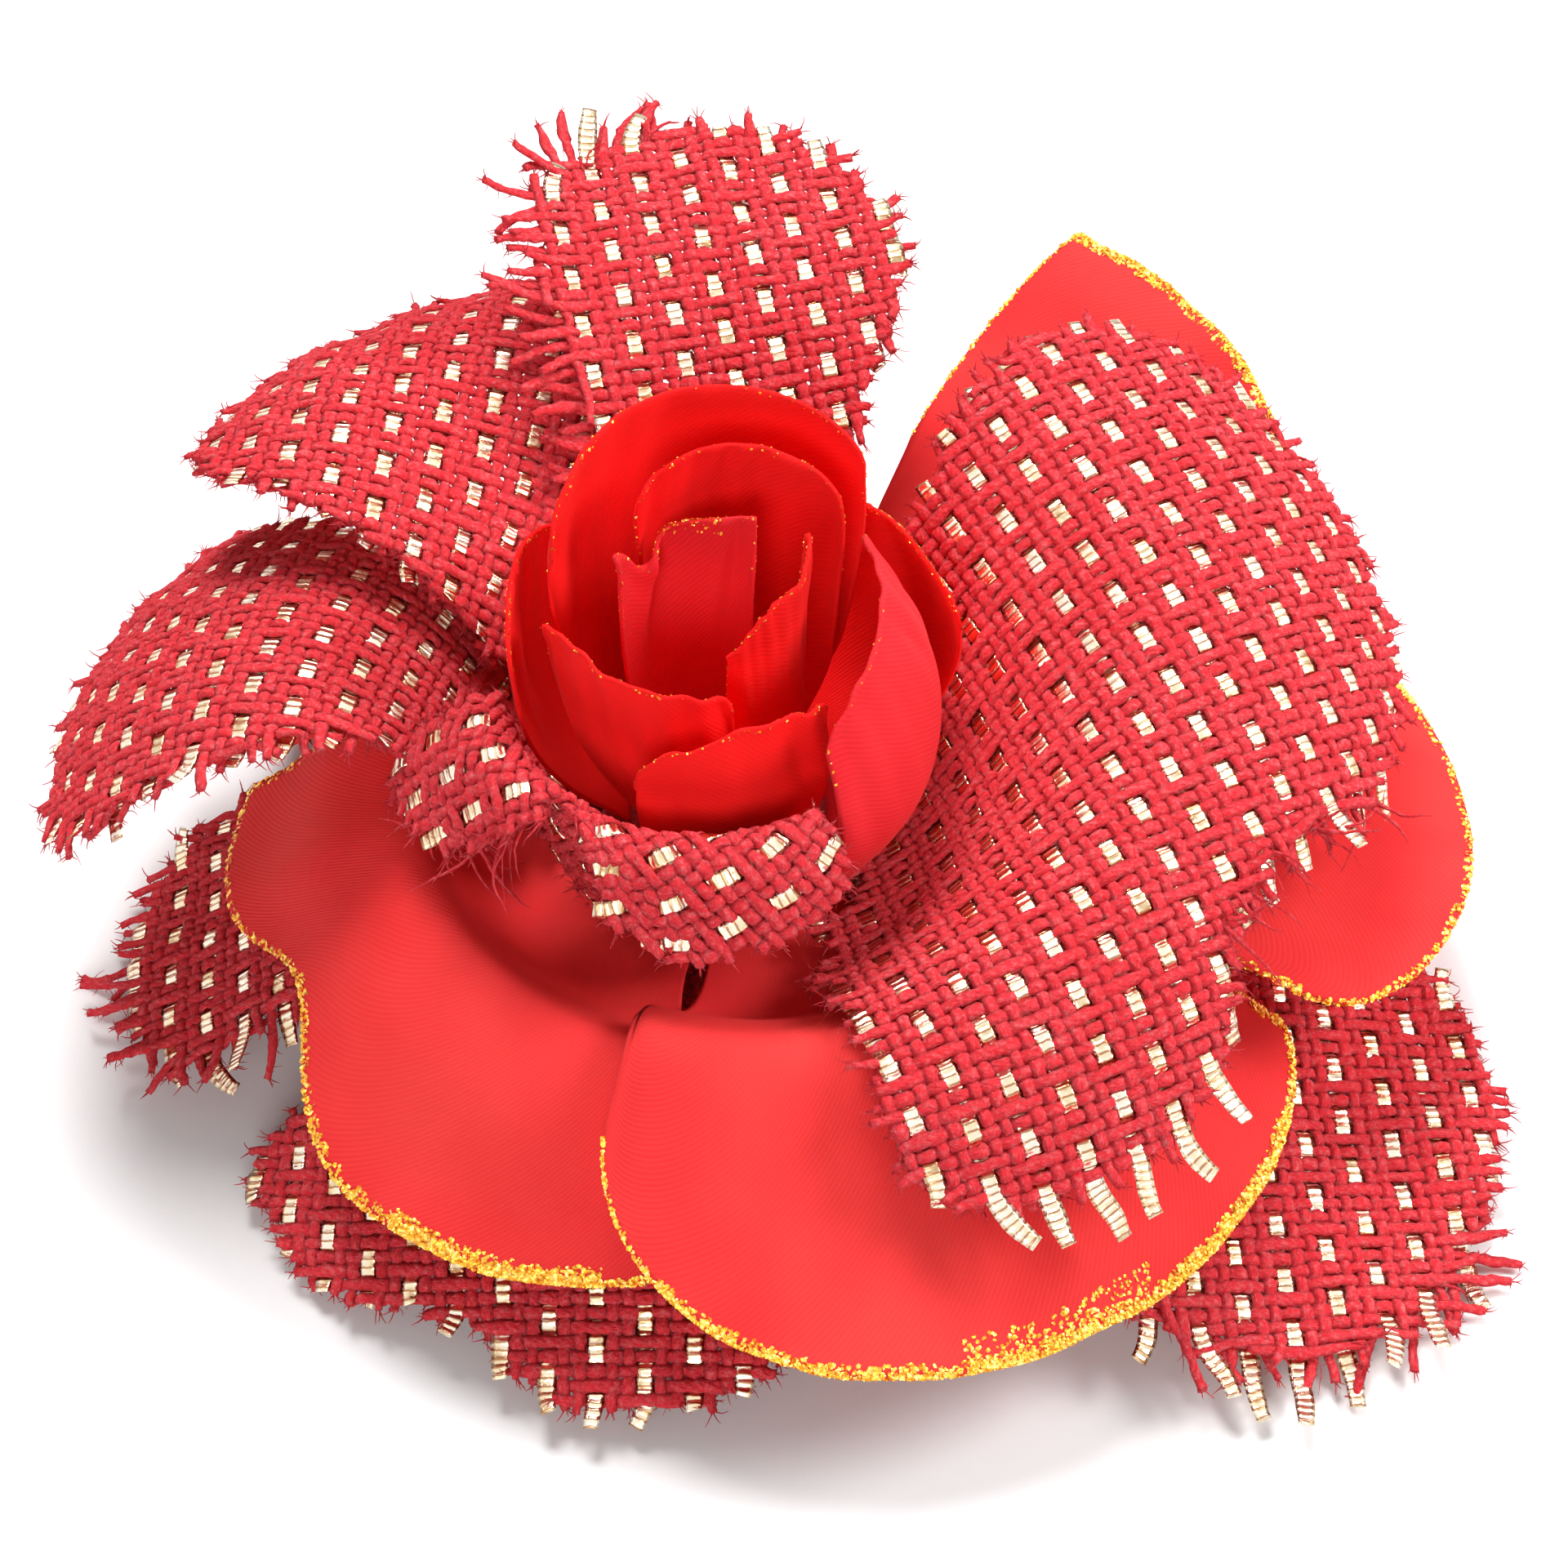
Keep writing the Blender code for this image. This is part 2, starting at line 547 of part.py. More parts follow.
def spring_path():
    """Points of the spring's wire: a leg under the top arm, the coil, and a leg over the jaw's lever."""
    coil_radius = PIN_TO_SHEET - SEAT_GAP - WIRE / 2
    lever = math.radians(JAW_LEVER_ANGLE)
    wound = 2 * math.pi * SPRING_TURNS + math.pi - lever
    length = SPRING_PITCH * wound / (2 * math.pi)
    steps = round(POINTS_A_TURN * wound / (2 * math.pi))
    path = [(PIN_X + SPRING_LEG, -length / 2, PIN_Z + coil_radius)]
    path.append((PIN_X + SPRING_LEG / 2, -length / 2, PIN_Z + coil_radius))
    for step in range(steps + 1):
        turn = math.pi / 2 + wound * step / steps
        y = length * (step / steps - 0.5)
        path.append((PIN_X + coil_radius * math.cos(turn), y, PIN_Z + coil_radius * math.sin(turn)))
    x, y, z = path[-1]
    for leg in (SPRING_LEG / 2, SPRING_LEG):
        path.append((x + leg * math.cos(lever), y, z - leg * math.sin(lever)))
    return path


def least_coil_gap(path):
    """Smallest gap between turns of the wire, measured on its points."""
    coil = path[2:-2]
    closest = min(
        math.dist(a, b)
        for index, a in enumerate(coil)
        for b in coil[index + POINTS_A_TURN // 2 + 1:]
    )
    return closest - WIRE


def torsion_spring(look):
    path = spring_path()
    print("least gap between the spring's turns, mm:", round(least_coil_gap(path), 3))
    wire = bpy.data.curves.new("torsion_spring", "CURVE")
    wire.dimensions = "3D"
    wire.bevel_depth = WIRE / 2 * MM
    wire.bevel_resolution = 1
    wire.use_fill_caps = True
    line = wire.splines.new("POLY")
    line.points.add(len(path) - 1)
    for point, place in zip(line.points, path):
        point.co = (*(value * MM for value in place), 1.0)
    made = bpy.data.objects.new("torsion_spring", wire)
    bpy.context.scene.collection.objects.link(made)
    made.data.materials.append(look)
    return made


def clip_glue(look):
    """The pad of hot glue that holds the top arm to the felt."""
    outline = []
    for end in (1, -1):
        for step in range(9):
            turn = math.pi * (step / 8 - 0.5) + (0 if end > 0 else math.pi)
            x = end * (GLUE_HALF_LENGTH - GLUE_HALF_WIDTH) + GLUE_HALF_WIDTH * math.cos(turn)
            outline.append((x, GLUE_HALF_WIDTH * math.sin(turn)))
    count = len(outline)
    points = [(x, y, GLUE_BOTTOM) for x, y in outline]
    points += [(x, y, GLUE_BOTTOM + GLUE_THICKNESS) for x, y in outline]
    faces = [tuple(range(count)), tuple(range(2 * count - 1, count - 1, -1))]
    for index in range(count):
        after = (index + 1) % count
        faces.append((index, after, count + after, count + index))
    made = add_mesh("clip_glue", points, faces, look)
    face_outwards(made)
    return made


def centre_on_origin():
    """Hang everything from an empty, moved so that the middle of the whole stands over the origin."""
    bpy.context.view_layer.update()
    graph = bpy.context.evaluated_depsgraph_get()
    pieces = list(bpy.context.scene.objects)
    places = []
    for piece in pieces:
        shape = piece.evaluated_get(graph)
        places += [shape.matrix_world @ vertex.co for vertex in shape.to_mesh().vertices]
        shape.to_mesh_clear()
    low = [min(place[axis] for place in places) for axis in range(2)]
    high = [max(place[axis] for place in places) for axis in range(2)]
    root = bpy.data.objects.new("rose_clip", None)
    bpy.context.scene.collection.objects.link(root)
    root.location = (-(low[0] + high[0]) / 2, -(low[1] + high[1]) / 2, 0)
    for piece in pieces:
        piece.parent = root
    print("rose axis at, mm:", [round(value / MM, 3) for value in root.location[:2]])
    print("hinge pin at, mm:", round(root.location.x / MM + PIN_X, 3), round(PIN_Z, 3))


def build():
    clear_scene()
    steel = material("nickel_steel", (0.62, 0.61, 0.60), 0.28, 1.0)
    spring_steel = material("spring_steel", (0.48, 0.48, 0.49), 0.32, 1.0)
    glue = material("hot_glue", (0.78, 0.74, 0.66), 0.35)
    felt = material("red_felt", (0.55, 0.03, 0.04), 0.95)
    burlap = material("red_burlap", (0.80, 0.06, 0.07), 0.85)
    satin = material("coral_satin", (0.86, 0.09, 0.08), 0.38)
    bud_satin = material("scarlet_satin", (0.80, 0.02, 0.02), 0.35)

    clip_top_arm(steel)
    clip_jaw(steel)
    hinge_pin(steel)
    torsion_spring(spring_steel)
    clip_glue(glue)

    disc("felt_backing", FELT_RADIUS, FELT_BOTTOM, FELT_THICKNESS, felt, 40)
    disc("base_disc", BASE_DISC_RADIUS, BASE_DISC_BOTTOM, DISC_THICKNESS, felt)
    disc("ring_disc", RING_DISC_RADIUS, RING_DISC_BOTTOM, DISC_THICKNESS, felt)
    disc("crown_disc", CROWN_DISC_RADIUS, CROWN_DISC_BOTTOM, DISC_THICKNESS, felt)

    ring_of_petals(LOWER_PETALS, LOWER_Z, TONGUE, RING_OPENED, BURLAP, burlap)
    ring_of_petals(SATIN_PETALS, SATIN_Z, TONGUE, RING_OPENED, SATIN, satin)
    ring_of_petals(UPPER_PETALS, UPPER_Z, TONGUE, RING_OPENED, BURLAP, burlap)
    ring_of_petals(BUD_PETALS, BUD_Z, 0.0, BUD_OPENED, SATIN, bud_satin)
    bud_core(bud_satin)
    centre_on_origin()


build()
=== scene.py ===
"""Looks of the fabric rose hair clip: woven petals yarn by yarn, satin petals with gold edges, felt, steel.

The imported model's frame is in metres with +Z up. Lengths here are in millimetres and angles in degrees, up to
Builder.make, the sheets' sizes and the stage.
"""

import bisect
import itertools
import math
import random
from dataclasses import dataclass

import bpy
import numpy as np
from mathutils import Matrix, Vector
from mathutils.bvhtree import BVHTree


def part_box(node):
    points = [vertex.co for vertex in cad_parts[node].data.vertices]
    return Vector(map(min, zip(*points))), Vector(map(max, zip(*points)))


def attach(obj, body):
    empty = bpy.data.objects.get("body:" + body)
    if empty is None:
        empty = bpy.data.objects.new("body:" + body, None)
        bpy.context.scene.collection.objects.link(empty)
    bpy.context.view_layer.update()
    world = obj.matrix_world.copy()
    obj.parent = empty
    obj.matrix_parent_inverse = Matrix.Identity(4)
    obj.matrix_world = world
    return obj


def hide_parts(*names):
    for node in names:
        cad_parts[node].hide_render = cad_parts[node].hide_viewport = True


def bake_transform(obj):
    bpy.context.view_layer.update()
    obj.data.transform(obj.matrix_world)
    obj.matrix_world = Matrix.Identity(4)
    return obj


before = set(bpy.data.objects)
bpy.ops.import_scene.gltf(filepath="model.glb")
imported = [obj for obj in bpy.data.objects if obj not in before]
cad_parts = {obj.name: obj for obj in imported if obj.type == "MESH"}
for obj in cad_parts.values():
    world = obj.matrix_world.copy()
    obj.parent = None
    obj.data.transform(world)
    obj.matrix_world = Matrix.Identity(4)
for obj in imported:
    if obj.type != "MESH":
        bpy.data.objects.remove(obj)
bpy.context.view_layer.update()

MM = 0.001
ROSE = "rose"

# Cloth, as in the part's source
TONGUE = 8.0  # length of a ring petal's glued tongue
RING_OPENED = 22.0  # length at which a ring petal has its full angle
BUD_OPENED = 12.0  # length at which a bud petal has its full angle
SEAT_GAP = 0.3  # glue between a petal and its disc
NOTCH_WIDTH = 0.25  # of a notch in a petal's edge, from -1 to 1 across
TINY = 1e-9  # keeps a division from failing

# Woven cloth
WARP_PITCH = 1.2  # one gold yarn, then two red ones
WEFT_PITCH = 1.06  # red yarns only
GOLD_EVERY = 3
YARN_WIDTH = 1.0
YARN_THICKNESS = 0.5
YARN_UNEVEN = 0.12  # share by which its width swings
LUREX_WIDTH = 1.5
LUREX_THICKNESS = 0.14
LUREX_UNEVEN = 0.04
LUREX_RISE = 0.10  # gold rides high, so that its floats show longer than its dips
DRAWN_IN = 0.25  # share of its width that a red yarn loses where it crosses over gold
END_GRIP = 0.4  # share of that which it loses at its loose ends
CRIMP = 0.24  # how far a yarn swings to each side of the cloth's middle
YARN_SIDES = 6
STEPS_A_CROSSING = 3
FLOOR_CLEARANCE = 0.4  # no yarn end droops lower
NET_REACH = 60  # yarns counted to each side of a petal's middle
OFF_SHEET = 0.9  # a step that lands this far off the sheet ends its yarn
LOST = 1.6  # a crossing this far off the sheet is left out
LEAST_MESH = 0.4  # and so is one this near to its neighbour
MOST_SKEW = 0.93  # or with its yarns this nearly in line, as a cosine
CUT_START = 0.16  # where the cloth starts, along the petal
RIPPLE = 0.7  # height of a woven petal's ripples
FIBRE_CHANCE = 0.6  # of a loose fibre at each step along a yarn
FIBRE_STEPS = 3
WISP_STEPS = 8

# Satin
SATIN_THICKNESS = 0.28
SATIN_ROWS = 56
FOLD = 0.6  # height of its soft folds
EDGE_CURL = 0.9
SIDE_CURL = 0.7
CURL_FROM = 0.86  # where an edge starts to curl, along and across
CURL_WIDTH = 0.14
SIDE_SHARE = 0.8  # share of a petal's length that 1 covers along its side in outline_place
RIM_STEPS = 60  # steps in which an edge is measured
FACE_SHARE = 0.72  # of the flakes at any place on an edge that lie on the same face of the cloth
FLAKE_RADIUS = (0.11, 0.24)
FLAKE_THICKNESS = 0.03
BUD_FLAKE = 0.6  # size of the bud's flakes as a share of the others

# Camera, at the photograph's view
VIEW_ELEVATION = 50.0
VIEW_DISTANCE = 330.0
VIEW_WIDTH = 116.7  # width of the picture at the aim point
VIEW_AIM = (4.2, 0.0, 24.5)  # from the rose's axis on the table
SENSOR = 36.0

# Stage, in metres: each lamp's name, place, aim, size and power
LAMPS = [
    ("key", (-0.10, 0.30, 0.70), (0, 0, 0.02), 0.30, 4.4),
    ("front", (-0.12, -0.66, 0.36), (0, 0, 0.02), 0.36, 2.3),
    ("side", (0.50, 0.04, 0.40), (0.02, 0, 0.02), 0.30, 3.2),
    ("back", (0.0, 0.50, 0.50), (0, 0, 0.02), 0.40, 1.4),
]
FLOOR_HALF = 1.6
FLOOR_DROP = 0.0001
SHADOW_FADES = (0.14, 0.40)  # from the first distance to the second the floor turns white


def millimetres(node):
    low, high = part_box(node)
    return Vector(low) / MM, Vector(high) / MM


FELT_LOW, FELT_HIGH = millimetres("felt_backing")
AXIS = ((FELT_LOW.x + FELT_HIGH.x) / 2, (FELT_LOW.y + FELT_HIGH.y) / 2)
BASE_LOW, BASE_HIGH = millimetres("base_disc")
RING_LOW, RING_HIGH = millimetres("ring_disc")
CROWN_LOW, CROWN_HIGH = millimetres("crown_disc")
LOWER_Z = (FELT_HIGH.z + BASE_LOW.z) / 2
SATIN_Z = (BASE_HIGH.z + RING_LOW.z) / 2
UPPER_Z = (RING_HIGH.z + CROWN_LOW.z) / 2
BUD_Z = CROWN_HIGH.z + SEAT_GAP


@dataclass
class Cut:
    """How a woven petal is cut: the plan angle of its gold yarns and how far its yarn ends stick out."""

    warp: float
    fray: float = 1.3
    fringe: tuple = ()  # stretches of its edge, from and to across, with longer ends of the given length
    ribbons: tuple = ()  # the same for its gold yarns alone
    wisps: tuple = ()  # stretches of its edge, from and to across, with a number of loose strands of a length


@dataclass
class Petal:
    """A petal bent round the rose's axis. profile lists (radius, height over its disc) along its middle, from
    its glued tongue to its tip; shares are of that length."""

    azimuth: float
    spread: float  # half angle where it is widest
    root: float  # half angle of its tongue
    profile: list
    sides: tuple  # shares where its outer edge meets its -azimuth and +azimuth sides
    tip_at: float = 0.0  # where its tip is, from -1 to 1 across
    point: float = 2.0  # roundness of the tip: 1 is pointed, 2 or more is round
    notch: float = 0.0  # depth of a notch in its outer edge, as a share
    notch_at: float = 0.0  # where the notch is, from -1 to 1 across
    tilt: float = 0.0  # lift of its +azimuth side, and drop of its other side
    lift: float = 0.0  # the same again, growing from nothing at its tongue to this at its outer edge
    cup: float = 0.0  # lift of both sides
    spiral: float = 0.0  # added to the radius at its +azimuth side, and taken off at its other side
    swing: float = 0.0  # share by which it grows towards its +azimuth side, and shrinks towards the other
    cut: Cut = None  # of a woven petal
    dust: list = None  # gold on a satin edge: from and to, see outline_place, the band's width, flakes per mm
    crease: float = 0.0  # height of a satin petal's creases
    painted_shade_and_sheen: bool = False  # takes a darker, rosier copy of its ring's satin: painted shade and painted sheen
    name: str = ""


def numbered(name, petals):
    """Name the petals of a ring after their places in it, from 1."""
    for number, petal in enumerate(petals, 1):
        petal.name = f"{name}_{number}"
    return petals


GLUED = [(4, 0), (9, 0)]  # every ring petal's profile starts with its tongue
LOWER_PETALS = numbered("lower_burlap_petal", [
    Petal(-23, 24, 20, [*GLUED, (13, 0), (22, 0.8), (35, -3), (48, -9.5), (61, -13)], (0.72, 0.72),
          tilt=1.0, cut=Cut(104, 1.4, ((-1.0, -0.05, 6.0),), ((-1.0, 0.1, 6.0),), ((-0.8, 0.8, 8, 4.0),))),
    Petal(27, 25, 22, [*GLUED, (13, 0), (22, 0.8), (34, -2.5), (45, -8), (52, -12)], (0.74, 0.74),
          tilt=1.0, cut=Cut(80)),
    Petal(79, 25, 22, [*GLUED, (13, 0), (22, 0.8), (32, -2.5), (42, -8), (48, -12)], (0.74, 0.74),
          tilt=1.0, cut=Cut(95)),
    Petal(129, 24, 21, [*GLUED, (13, 0), (22, 0.8), (32, -2.5), (42, -8), (48, -12)], (0.74, 0.74),
          tilt=1.0, cut=Cut(85)),
    Petal(177, 20, 18, [*GLUED, (13, 0), (22, 0.3), (32, -3.5), (40, -9), (47, -13)], (0.74, 0.8),
          tilt=1.0, cut=Cut(96, 1.6, ((0.1, 1.0, 6.0),), ((0.1, 1.0, 5.0),))),
    Petal(244, 37, 26, [*GLUED, (13, 0.1), (21, 0.3), (30, -4.6), (37, -9.8), (42.5, -13.2)],
          (0.95, 0.8), tilt=1.0, notch=0.1, notch_at=-0.12, cut=Cut(82, 0.9, (), ((-0.2, 0.6, 2.5),))),
])
SATIN_PETALS = numbered("satin_petal", [
    Petal(216, 50, 40,
          [*GLUED, (12, 0.1), (17.5, 0.6), (21.5, 5), (24.5, 7), (30, 3.4), (35, -2.6), (39, -6.6)],
          (0.97, 0.84), notch=0.16, notch_at=-0.3, tilt=-1.8,
          dust=[(-1.3, 1.3, 0.6, 26), (-0.3, 0.8, 1.1, 40), (0.3, 0.8, 1.5, 30)]),
    Petal(299, 45, 36,
          [*GLUED, (12, 0.1), (17.5, 0.9), (22.5, 5.6), (26.5, 6.6), (33, 2), (40, -3.8), (46.5, -7.6)],
          (0.64, 0.86), tip_at=0.1, tilt=-1.7, swing=0.05,
          dust=[(-1.0, 1.3, 0.6, 30), (-0.8, 0.8, 1.0, 50), (-0.15, 0.3, 2.6, 80)]),
    Petal(8, 28, 17, [*GLUED, (12, 0.2), (17, 1.8), (23, 5), (30, 5), (40, 2), (50, -1), (57, -2.5)],
          (0.76, 0.76), tilt=-1.4, dust=[(-1.3, 1.3, 0.6, 24)]),
    Petal(48, 20, 16, [*GLUED, (12, 0.2), (17, 2), (24, 6), (34, 8.5), (45, 10.5), (60, 15)],
          (0.8, 0.62), tip_at=0.7, point=1.2, tilt=-1.4,
          dust=[(-1.6, 1.0, 0.5, 16), (-0.9, 0.72, 0.9, 40)]),
    Petal(128, 36, 28, [*GLUED, (12, 0.2), (17, 2), (23, 6.5), (30, 6), (38, 0), (43, -4)],
          (0.8, 0.8), tilt=-1.4, dust=[(-1.0, 1.0, 0.5, 12)]),
])
UPPER_PETALS = numbered("upper_burlap_petal", [
    Petal(166, 23, 15, [*GLUED, (12, 0.4), (17, 4), (23, 11), (30, 14.5), (38, 13), (46, 7.5), (51, 1.5)],
          (0.84, 0.78), tilt=2.8, cup=-1, point=3, cut=Cut(82, 1.1, ((0.6, 1.0, 3.0),))),
    Petal(128, 26, 18,
          [*GLUED, (12, 0.4), (17, 4.5), (23, 12.5), (30, 17), (38, 18.5), (45, 16), (50.5, 11.5)],
          (0.88, 0.76), tilt=1.4, tip_at=-0.2, point=2.5, cut=Cut(84, 1.0)),
    Petal(91, 21, 15, [*GLUED, (12, 0.4), (16, 4.5), (21, 12), (29, 18.5), (39, 22), (52, 23.5)],
          (0.72, 0.72), tilt=1.4, cut=Cut(102, 1.4, ((0.25, 1.0, 7.0),), (), ((0.3, 1.0, 8, 5.0),))),
    Petal(-7, 62, 50, [*GLUED, (12, 0.4), (17, 4), (23, 10), (30, 13.5), (38, 12.5), (45, 8.5), (49.5, 4)],
          (0.82, 0.6), tip_at=0.2, tilt=5, lift=4, notch=0.2, notch_at=-0.2, swing=0.15,
          cut=Cut(116, 1.3, ((-0.2, 0.05, 3.5),), ((-0.9, -0.25, 6.0), (-0.18, 0.12, 5.0)),
                  ((-0.9, 0.9, 16, 3.0), (-0.3, 0.05, 26, 7.0)))),
    Petal(242, 56, 24, [*GLUED, (12.2, 0.6), (13.6, 5), (14, 12), (15.5, 17), (18.5, 16.5), (22, 11)],
          (1.06, 0.88), tip_at=0.45, swing=-0.1, notch=0.26, notch_at=-0.2,
          cut=Cut(56, 0.8, (), (), ((-0.9, -0.2, 14, 4.0), (-0.55, -0.25, 14, 8.0), (0.0, 0.9, 6, 2.5)))),
])
# bud petals 1 and 7 take the darker, rosier satin copy, which paints shade and sheen on them
BUD_PETALS = numbered("bud_petal", [
    Petal(118, 52, 38, [(3.6, 0), (5.2, 6), (6.2, 14), (6.9, 25)], (0.98, 0.96), notch=0.12, notch_at=0.5,
          cup=2.2, spiral=1.4, dust=[(-1.3, 1.4, 0.3, 2.5), (-0.5, 0.4, 1.1, 22)], crease=2.4, painted_shade_and_sheen=True),
    Petal(-25, 62, 50, [(3.6, 0), (4.6, 8), (4.8, 16), (5.2, 28)], (0.8, 0.84), tip_at=0.75, point=1.2,
          spiral=1.6, dust=[(-1.6, 1.2, 0.3, 3)], crease=1.4),
    Petal(88, 50, 42, [(4.8, 0), (7.6, 6), (9.3, 14), (9.9, 22), (9.6, 29.5)], (0.88, 0.88), spiral=-1.0,
          dust=[(-1.3, 1.2, 0.3, 2.5)], crease=0.6),
    Petal(108, 63, 50, [(6, 0), (9.6, 6), (12.3, 14), (13.5, 23), (13, 32)], (0.85, 0.82), spiral=-0.8,
          dust=[(-1.3, 1.3, 0.3, 2.5)], crease=0.5),
    Petal(225, 50, 40, [(4.8, 0), (7.6, 6), (9.4, 13), (10.2, 23)], (0.86, 0.86), spiral=-2.6,
          dust=[(-1.2, 1.2, 0.3, 2)], crease=0.9),
    Petal(278, 38, 30, [(6, 0), (9.4, 6), (11.2, 13), (11, 21.5)], (0.78, 0.95), spiral=-1.2,
          dust=[(-1.2, 1.0, 0.3, 3)], crease=0.8),
    Petal(-12, 46, 30, [(7.4, 0), (12.2, 3.4), (15.4, 9.6), (14.6, 17), (10.8, 25.5)], (0.8, 0.88),
          tip_at=0.75, point=1.4, dust=[(-1.2, 1.0, 0.3, 1.5)], crease=0.7, painted_shade_and_sheen=True),
    Petal(40, 22, 17, [(9, 0), (14.6, 4), (18, 10), (17.6, 16), (15.8, 21)], (0.75, 0.75),
          dust=[(-1.0, 1.0, 0.5, 8)], crease=0.5),
    Petal(165, 28, 22, [(7.4, 0), (11.6, 5), (14.6, 12), (15.4, 18), (15.6, 23.5)], (0.8, 0.8),
          dust=[(-1.0, 1.0, 0.4, 5)], crease=0.7),
])


def smoothstep(value):
    value = min(max(value, 0.0), 1.0)
    return value * value * (3 - 2 * value)


def spline(points, steps=12):
    """A smooth run of points through points, each with its distance along the run."""
    first = [2 * a - b for a, b in zip(points[0], points[1])]
    last = [2 * a - b for a, b in zip(points[-1], points[-2])]
    guides = [Vector(point) for point in (first, *points, last)]
    run = [guides[1]]
    for p0, p1, p2, p3 in zip(guides, guides[1:], guides[2:], guides[3:]):
        for step in range(1, steps + 1):
            t = step / steps
            ease = p1 * 2 + (p2 - p0) * t + (p0 * 2 - p1 * 5 + p2 * 4 - p3) * t ** 2
            run.append((ease + (p1 * 3 - p0 - p2 * 3 + p3) * t ** 3) / 2)
    travelled = [0.0]
    for before, after in zip(run, run[1:]):
        travelled.append(travelled[-1] + (after - before).length)
    return run, travelled


def along_spline(run, travelled, distance):
    """The point at distance along a run, carried on straight past its end."""
    index = min(max(bisect.bisect(travelled, distance), 1), len(run) - 1)
    share = (distance - travelled[index - 1]) / (travelled[index] - travelled[index - 1])
    return run[index - 1].lerp(run[index], share)


def edge_share(petal, across):
    """Share of the petal's length where its outer edge lies at across."""
    side = petal.sides[1] if across > petal.tip_at else petal.sides[0]
    reach = 1 - petal.tip_at if across > petal.tip_at else 1 + petal.tip_at
    aside = min(abs(across - petal.tip_at) / reach, 1.0)
    rounding = (1 - aside ** petal.point) ** (1 / petal.point)
    notch = petal.notch * math.exp(-(((across - petal.notch_at) / NOTCH_WIDTH) ** 2))
    return side + (1 - side) * rounding - notch


def petal_surface(petal, base_z, tongue, opened):
    """A function from along (0 at the tongue, 1 at the edge) and across (-1 to 1) to the middle of the cloth.
    The petal keeps its root's angle up to tongue, and has its full angle from opened, along its length."""
    run, travelled = spline(petal.profile)

    def point_at(along, across):
        distance = along * edge_share(petal, across) * travelled[-1]
        opening = smoothstep((distance - tongue) / (opened - tongue))
        radius, height = along_spline(run, travelled, distance)
        radius *= 1 + petal.swing * across * opening
        radius += petal.spiral * across * opening
        height += opening * (petal.tilt * across + petal.cup * across ** 2)
        height += petal.lift * across * (distance / travelled[-1]) ** 2
        turn = math.radians(petal.azimuth + across * (petal.root + (petal.spread - petal.root) * opening))
        return (radius * math.cos(turn), radius * math.sin(turn), base_z + height)

    return point_at


# Materials

class Nodes:
    """A short way to write the nodes of a material or a world."""

    def __init__(self, name, kind="materials", shader="Principled BSDF"):
        self.owner = getattr(bpy.data, kind).new(name)
        self.owner.use_nodes = True
        self.tree = self.owner.node_tree
        self.shader = self.tree.nodes[shader]

    def add(self, kind, settings=None, **inputs):
        node = self.tree.nodes.new(kind)
        for key, value in (settings or {}).items():
            setattr(node, key, value)
        for key, value in inputs.items():
            self.set(node, key.replace("_", " "), value)
        return node

    def set(self, node, key, value):
        socket = node.inputs[key]
        if isinstance(value, bpy.types.NodeSocket):
            self.tree.links.new(value, socket)
        elif isinstance(value, bpy.types.Node):
            self.tree.links.new(value.outputs[0], socket)
        else:
            socket.default_value = value

    def coordinates(self, output, scale=(1.0, 1.0, 1.0)):
        place = self.add("ShaderNodeTexCoord")
        mapping = self.add("ShaderNodeMapping", Scale=scale)
        self.tree.links.new(place.outputs[output], mapping.inputs["Vector"])
        return mapping.outputs["Vector"]

    def noise(self, scale, detail, roughness=0.55, vector=None):
        """Noise in the object's own space, unless another is given."""
        if vector is None:
            vector = self.coordinates("Object")
        node = self.add("ShaderNodeTexNoise", Vector=vector, Scale=scale, Detail=detail, Roughness=roughness)
        return node.outputs["Fac"]

    def bands(self, direction, scale, distortion, detail, detail_scale):
        """Stripes in the cloth's own coordinates."""
        node = self.add("ShaderNodeTexWave", {"bands_direction": direction}, Vector=self.coordinates("UV"),
                        Scale=scale, Distortion=distortion, Detail=detail, Detail_Scale=detail_scale)
        return node.outputs["Color"]

    def ramp(self, factor, *stops):
        """A colour ramp; a stop is a place with a colour, or with one number for a grey."""
        node = self.add("ShaderNodeValToRGB", Fac=factor)
        elements = node.color_ramp.elements
        while len(elements) < len(stops):
            elements.new(0.5)
        for element, (place, colour) in zip(elements, stops):
            element.position = place
            element.color = (*(colour if isinstance(colour, tuple) else (colour,) * 3), 1.0)
        return node.outputs["Color"]

    def mix(self, factor, first, second):
        """Two colours mixed; the sockets' numbers are those of a colour mix."""
        node = self.add("ShaderNodeMix", {"data_type": "RGBA"})
        for socket, value in ((0, factor), (6, first), (7, second)):
            self.set(node, socket, value)
        return node.outputs[2]

    def bumps(self, *layers):
        """A normal from layers of (height, strength, distance), each laid over the one before."""
        below = {}
        for height, strength, distance in layers:
            node = self.add("ShaderNodeBump", Height=height, Strength=strength, Distance=distance, **below)
            below = {"Normal": node}
        return node

    def seen_by(self, *rays):
        """1 for the named kinds of ray, else 0."""
        path = self.add("ShaderNodeLightPath")
        shown = path.outputs[rays[0]]
        for ray in rays[1:]:
            either = self.add("ShaderNodeMath", {"operation": "MAXIMUM"})
            self.set(either, 0, shown)
            self.set(either, 1, path.outputs[ray])
            shown = either.outputs[0]
        return shown

    def finish(self, **inputs):
        for key, value in inputs.items():
            self.set(self.shader, key.replace("_", " "), value)
        return self.owner


